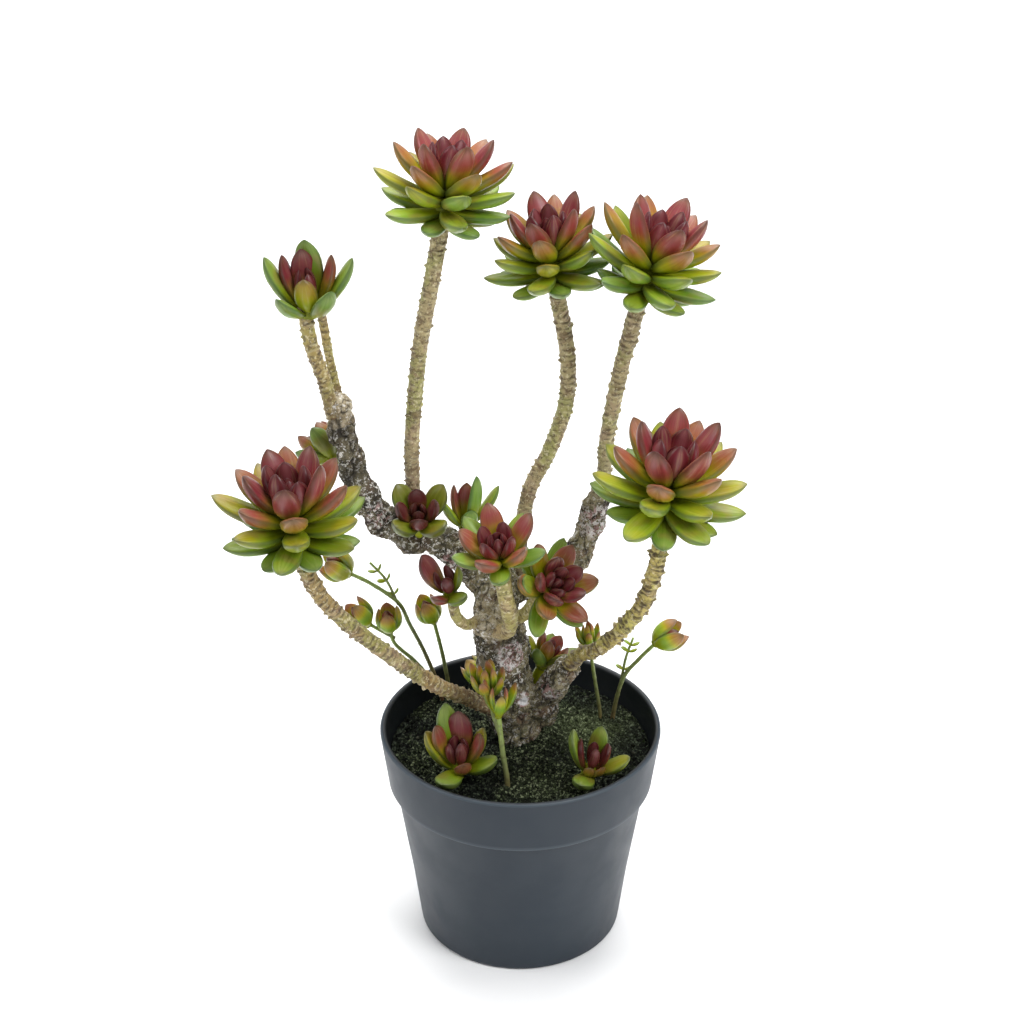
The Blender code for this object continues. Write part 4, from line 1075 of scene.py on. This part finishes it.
def moss_and_painted_light(x, y):
    """How green the soil is at a place, and how far painted light lightens it where the plant
    shades it.
    """
    back, front = (np.exp(-((x - place_x) ** 2 + (y - place_y) ** 2) / reach ** 2)
                   for place_x, place_y, reach in (MOSS_AND_LIGHT_BACK, MOSS_FRONT))
    return np.minimum(1.3 * back + 0.3 * front, 1.3)


def add_crumbs(shell, edge):
    """Loose crumbs on the soil, some green and a few light."""
    draw = random.Random("crumbs")
    corners, faces = ball(1, 1.0)
    for _ in range(CRUMBS):
        far = (edge - CRUMB_MARGIN) * math.sqrt(draw.random())
        turn = draw.uniform(0, 2 * math.pi)
        x, y = far * math.cos(turn), far * math.sin(turn)
        size = draw.uniform(*CRUMB_SIZES)
        shape = np.array([draw.uniform(0.6, 1.3) for _ in range(3)]) * size
        wobble = np.array([draw.uniform(0.8, 1.2) for _ in range(len(corners))])
        spin = np.array(Matrix.Rotation(draw.uniform(0, 6), 3, "Z"))
        crumb = (corners * wobble[:, None] * shape) @ spin.T
        ground = soil_top(np.array([x]), np.array([y]), edge)[0]
        mossy = noise.noise(Vector((x, y, 0)) * 0.05 + Vector((0, 0, 4))) > 0.02
        kind = draw.random()
        shell.add(crumb + (x, y, ground + 0.25 * size), faces,
                  green=draw.uniform(0.2, 0.8) if mossy and kind < 0.5 else 0.0,
                  light=draw.uniform(0.15, 0.45) if kind > 0.965 else 0.0,
                  moss=moss_and_painted_light(x, y))


def make_soil(material):
    side = WALL + SOIL_GAP
    edge = BAND_FOOT_R + (RIM_R - BAND_FOOT_R) * (SOIL_TOP - BAND_Z) / BAND_H - side
    angle = circle(SOIL_SIDES)
    rings = [level_ring(FOOT_R - side, FLOOR_H + SOIL_GAP, angle),
             level_ring(BODY_TOP_R - side, BAND_Z - 2.0, angle),
             level_ring(BAND_FOOT_R - side, BAND_Z + 2.0, angle)]
    for radius in (edge, *np.arange(SOIL_STEP, edge, SOIL_STEP)[::-1]):
        ring = level_ring(radius, 0.0, angle)
        ring[:, 2] = soil_top(ring[:, 0], ring[:, 1], edge)
        if radius == edge:
            ring[:, 2] -= SOIL_EDGE_DROP
        rings.append(ring)
    points = np.vstack(rings + [(0, 0, FLOOR_H + SOIL_GAP), (0, 0, SOIL_TOP + SOIL_MOUND)])
    shell = Shell()
    shell.add(points, tube_faces(len(rings), SOIL_SIDES), moss=moss_and_painted_light(*points.T[:2]))
    add_crumbs(shell, edge)
    finish_piece(shell.build("soil_bed", [material]), "soil", "soil")


# Pot

def arc(centre, radius, start, end, steps):
    """Points of an arc in the profile, with its angles in degrees."""
    return [(centre[0] + radius * math.cos(math.radians(a)),
             centre[1] + radius * math.sin(math.radians(a)))
            for a in np.linspace(start, end, steps)]


def make_pot(material):
    """Pot turned from one profile, from the floor's middle over the rim to the foot's middle."""
    lip = 0.5 * WALL
    profile = [(0.5, FLOOR_H), (FOOT_R - WALL - 2, FLOOR_H), (FOOT_R - WALL, FLOOR_H + 2),
               (BODY_TOP_R - WALL, BAND_Z - 2.0), (BAND_FOOT_R - WALL, BAND_Z + 2.0),
               (RIM_R - WALL - 0.3, POT_H - 6), (RIM_R - WALL - 0.3, POT_H - 2.2)]
    profile += arc((RIM_R - lip - 0.1, POT_H - lip), lip + 0.1, 180, 90, 6)
    profile += arc((RIM_R - lip, POT_H - lip), lip, 90, 0, 6)
    profile += [(BAND_FOOT_R + 0.25, BAND_Z + 2.4)]
    profile += arc((BAND_FOOT_R - 0.7, BAND_Z + 0.9), 0.8, 0, -80, 6)
    profile += arc((BODY_TOP_R + 0.5, BAND_Z - 0.9), 0.5, 90, 180, 4)
    profile += [(FOOT_R + 4.0, 30.0), (FOOT_R + 0.7, 4.0)]
    profile += arc((FOOT_R - 1.6, 2.0), 2.0, 0, -90, 6)
    profile += [(FOOT_R - 5.0, 0), (FOOT_R - 6.0, RECESS_H), (CENTRE_PAD_R + 1, RECESS_H),
                (CENTRE_PAD_R, 0), (0.5, 0)]
    rings = [level_ring(radius, height, circle(POT_SIDES)) for radius, height in profile[::-1]]
    points = np.vstack(rings + [(0, 0, 0), (0, 0, FLOOR_H)])
    radius = np.hypot(points[:, 0], points[:, 1])
    height = points[:, 2]
    wall_middle = np.interp(height, [FLOOR_H, BAND_Z - 2, BAND_Z + 2, POT_H],
                            [FOOT_R - 1, BODY_TOP_R - lip, BAND_FOOT_R - lip, RIM_R - lip])
    # The inside gets painted shade
    inside = ((radius < wall_middle) & (height > FLOOR_H - 0.1)).astype(float)
    # Painted highlights along the band's lower edge and on the lip
    edge = (np.abs(height - BAND_Z - 0.4) < 0.9) & (radius > BAND_FOOT_R - 1.2)
    edge |= (height > POT_H - 0.9) & (height < POT_H - 0.1) & (radius > RIM_R - 1.0)
    shell = Shell()
    shell.add(points, tube_faces(len(rings), POT_SIDES), inside=inside, edge=edge.astype(float))
    pot = shell.build("pot_shell", [material])
    pot.data.set_sharp_from_angle(angle=math.radians(SHARP_ANGLE))
    finish_piece(pot, "pot_plastic", "pot")


# Stage

def make_stage():
    bpy.ops.mesh.primitive_plane_add(size=14, location=(0, 2.5, 0))
    floor = bpy.context.object
    floor.name = "floor"
    n = Nodes("white_floor")
    n.colour = n.ramp(n.grain(0.6, 1), [(0.3, 243.4, 243.4, 243.4), (0.7, 245.8, 245.8, 245.8)])
    floor.data.materials.append(n.finish(0.9))
    world = bpy.data.worlds.new("studio")
    bpy.context.scene.world = world
    world.use_nodes = True
    background = world.node_tree.nodes["Background"]
    background.inputs["Color"].default_value = SKY
    background.inputs["Strength"].default_value = SKY_STRENGTH
    for name, (place, aim, size, power) in LIGHTS.items():
        light = new_object(name, bpy.data.lights.new(name, "AREA"))
        light.data.size = size
        light.data.energy = power
        light.location = place
        direction = Vector(aim) - Vector(place)
        light.rotation_euler = direction.to_track_quat("-Z", "Y").to_euler()


def make_camera():
    camera = new_object("camera", bpy.data.cameras.new("camera"))
    camera.data.sensor_width = SENSOR
    camera.data.lens = LENS
    camera.data.clip_end = 50.0
    camera.location = CAMERA_AT
    camera.rotation_euler = (math.radians(90 - CAMERA_DOWN), 0, 0)
    bpy.context.scene.camera = camera


make_camera()
make_stage()
bpy.context.scene.view_settings.view_transform = "Standard"

leaf = leaf_material()
stem_materials = {look: stem_material(look) for look in STEM_LOOKS}
thin = sprig_material()
make_pot(pot_material())
make_soil(soil_material())
make_bark(bark_material())
for stem_name in STEMS:
    make_stem(stem_name, stem_materials)
for rosette_name in ROSETTES:
    make_rosette(rosette_name, leaf)
for sprig_name in SPRIGS:
    make_sprig(sprig_name, leaf, thin)
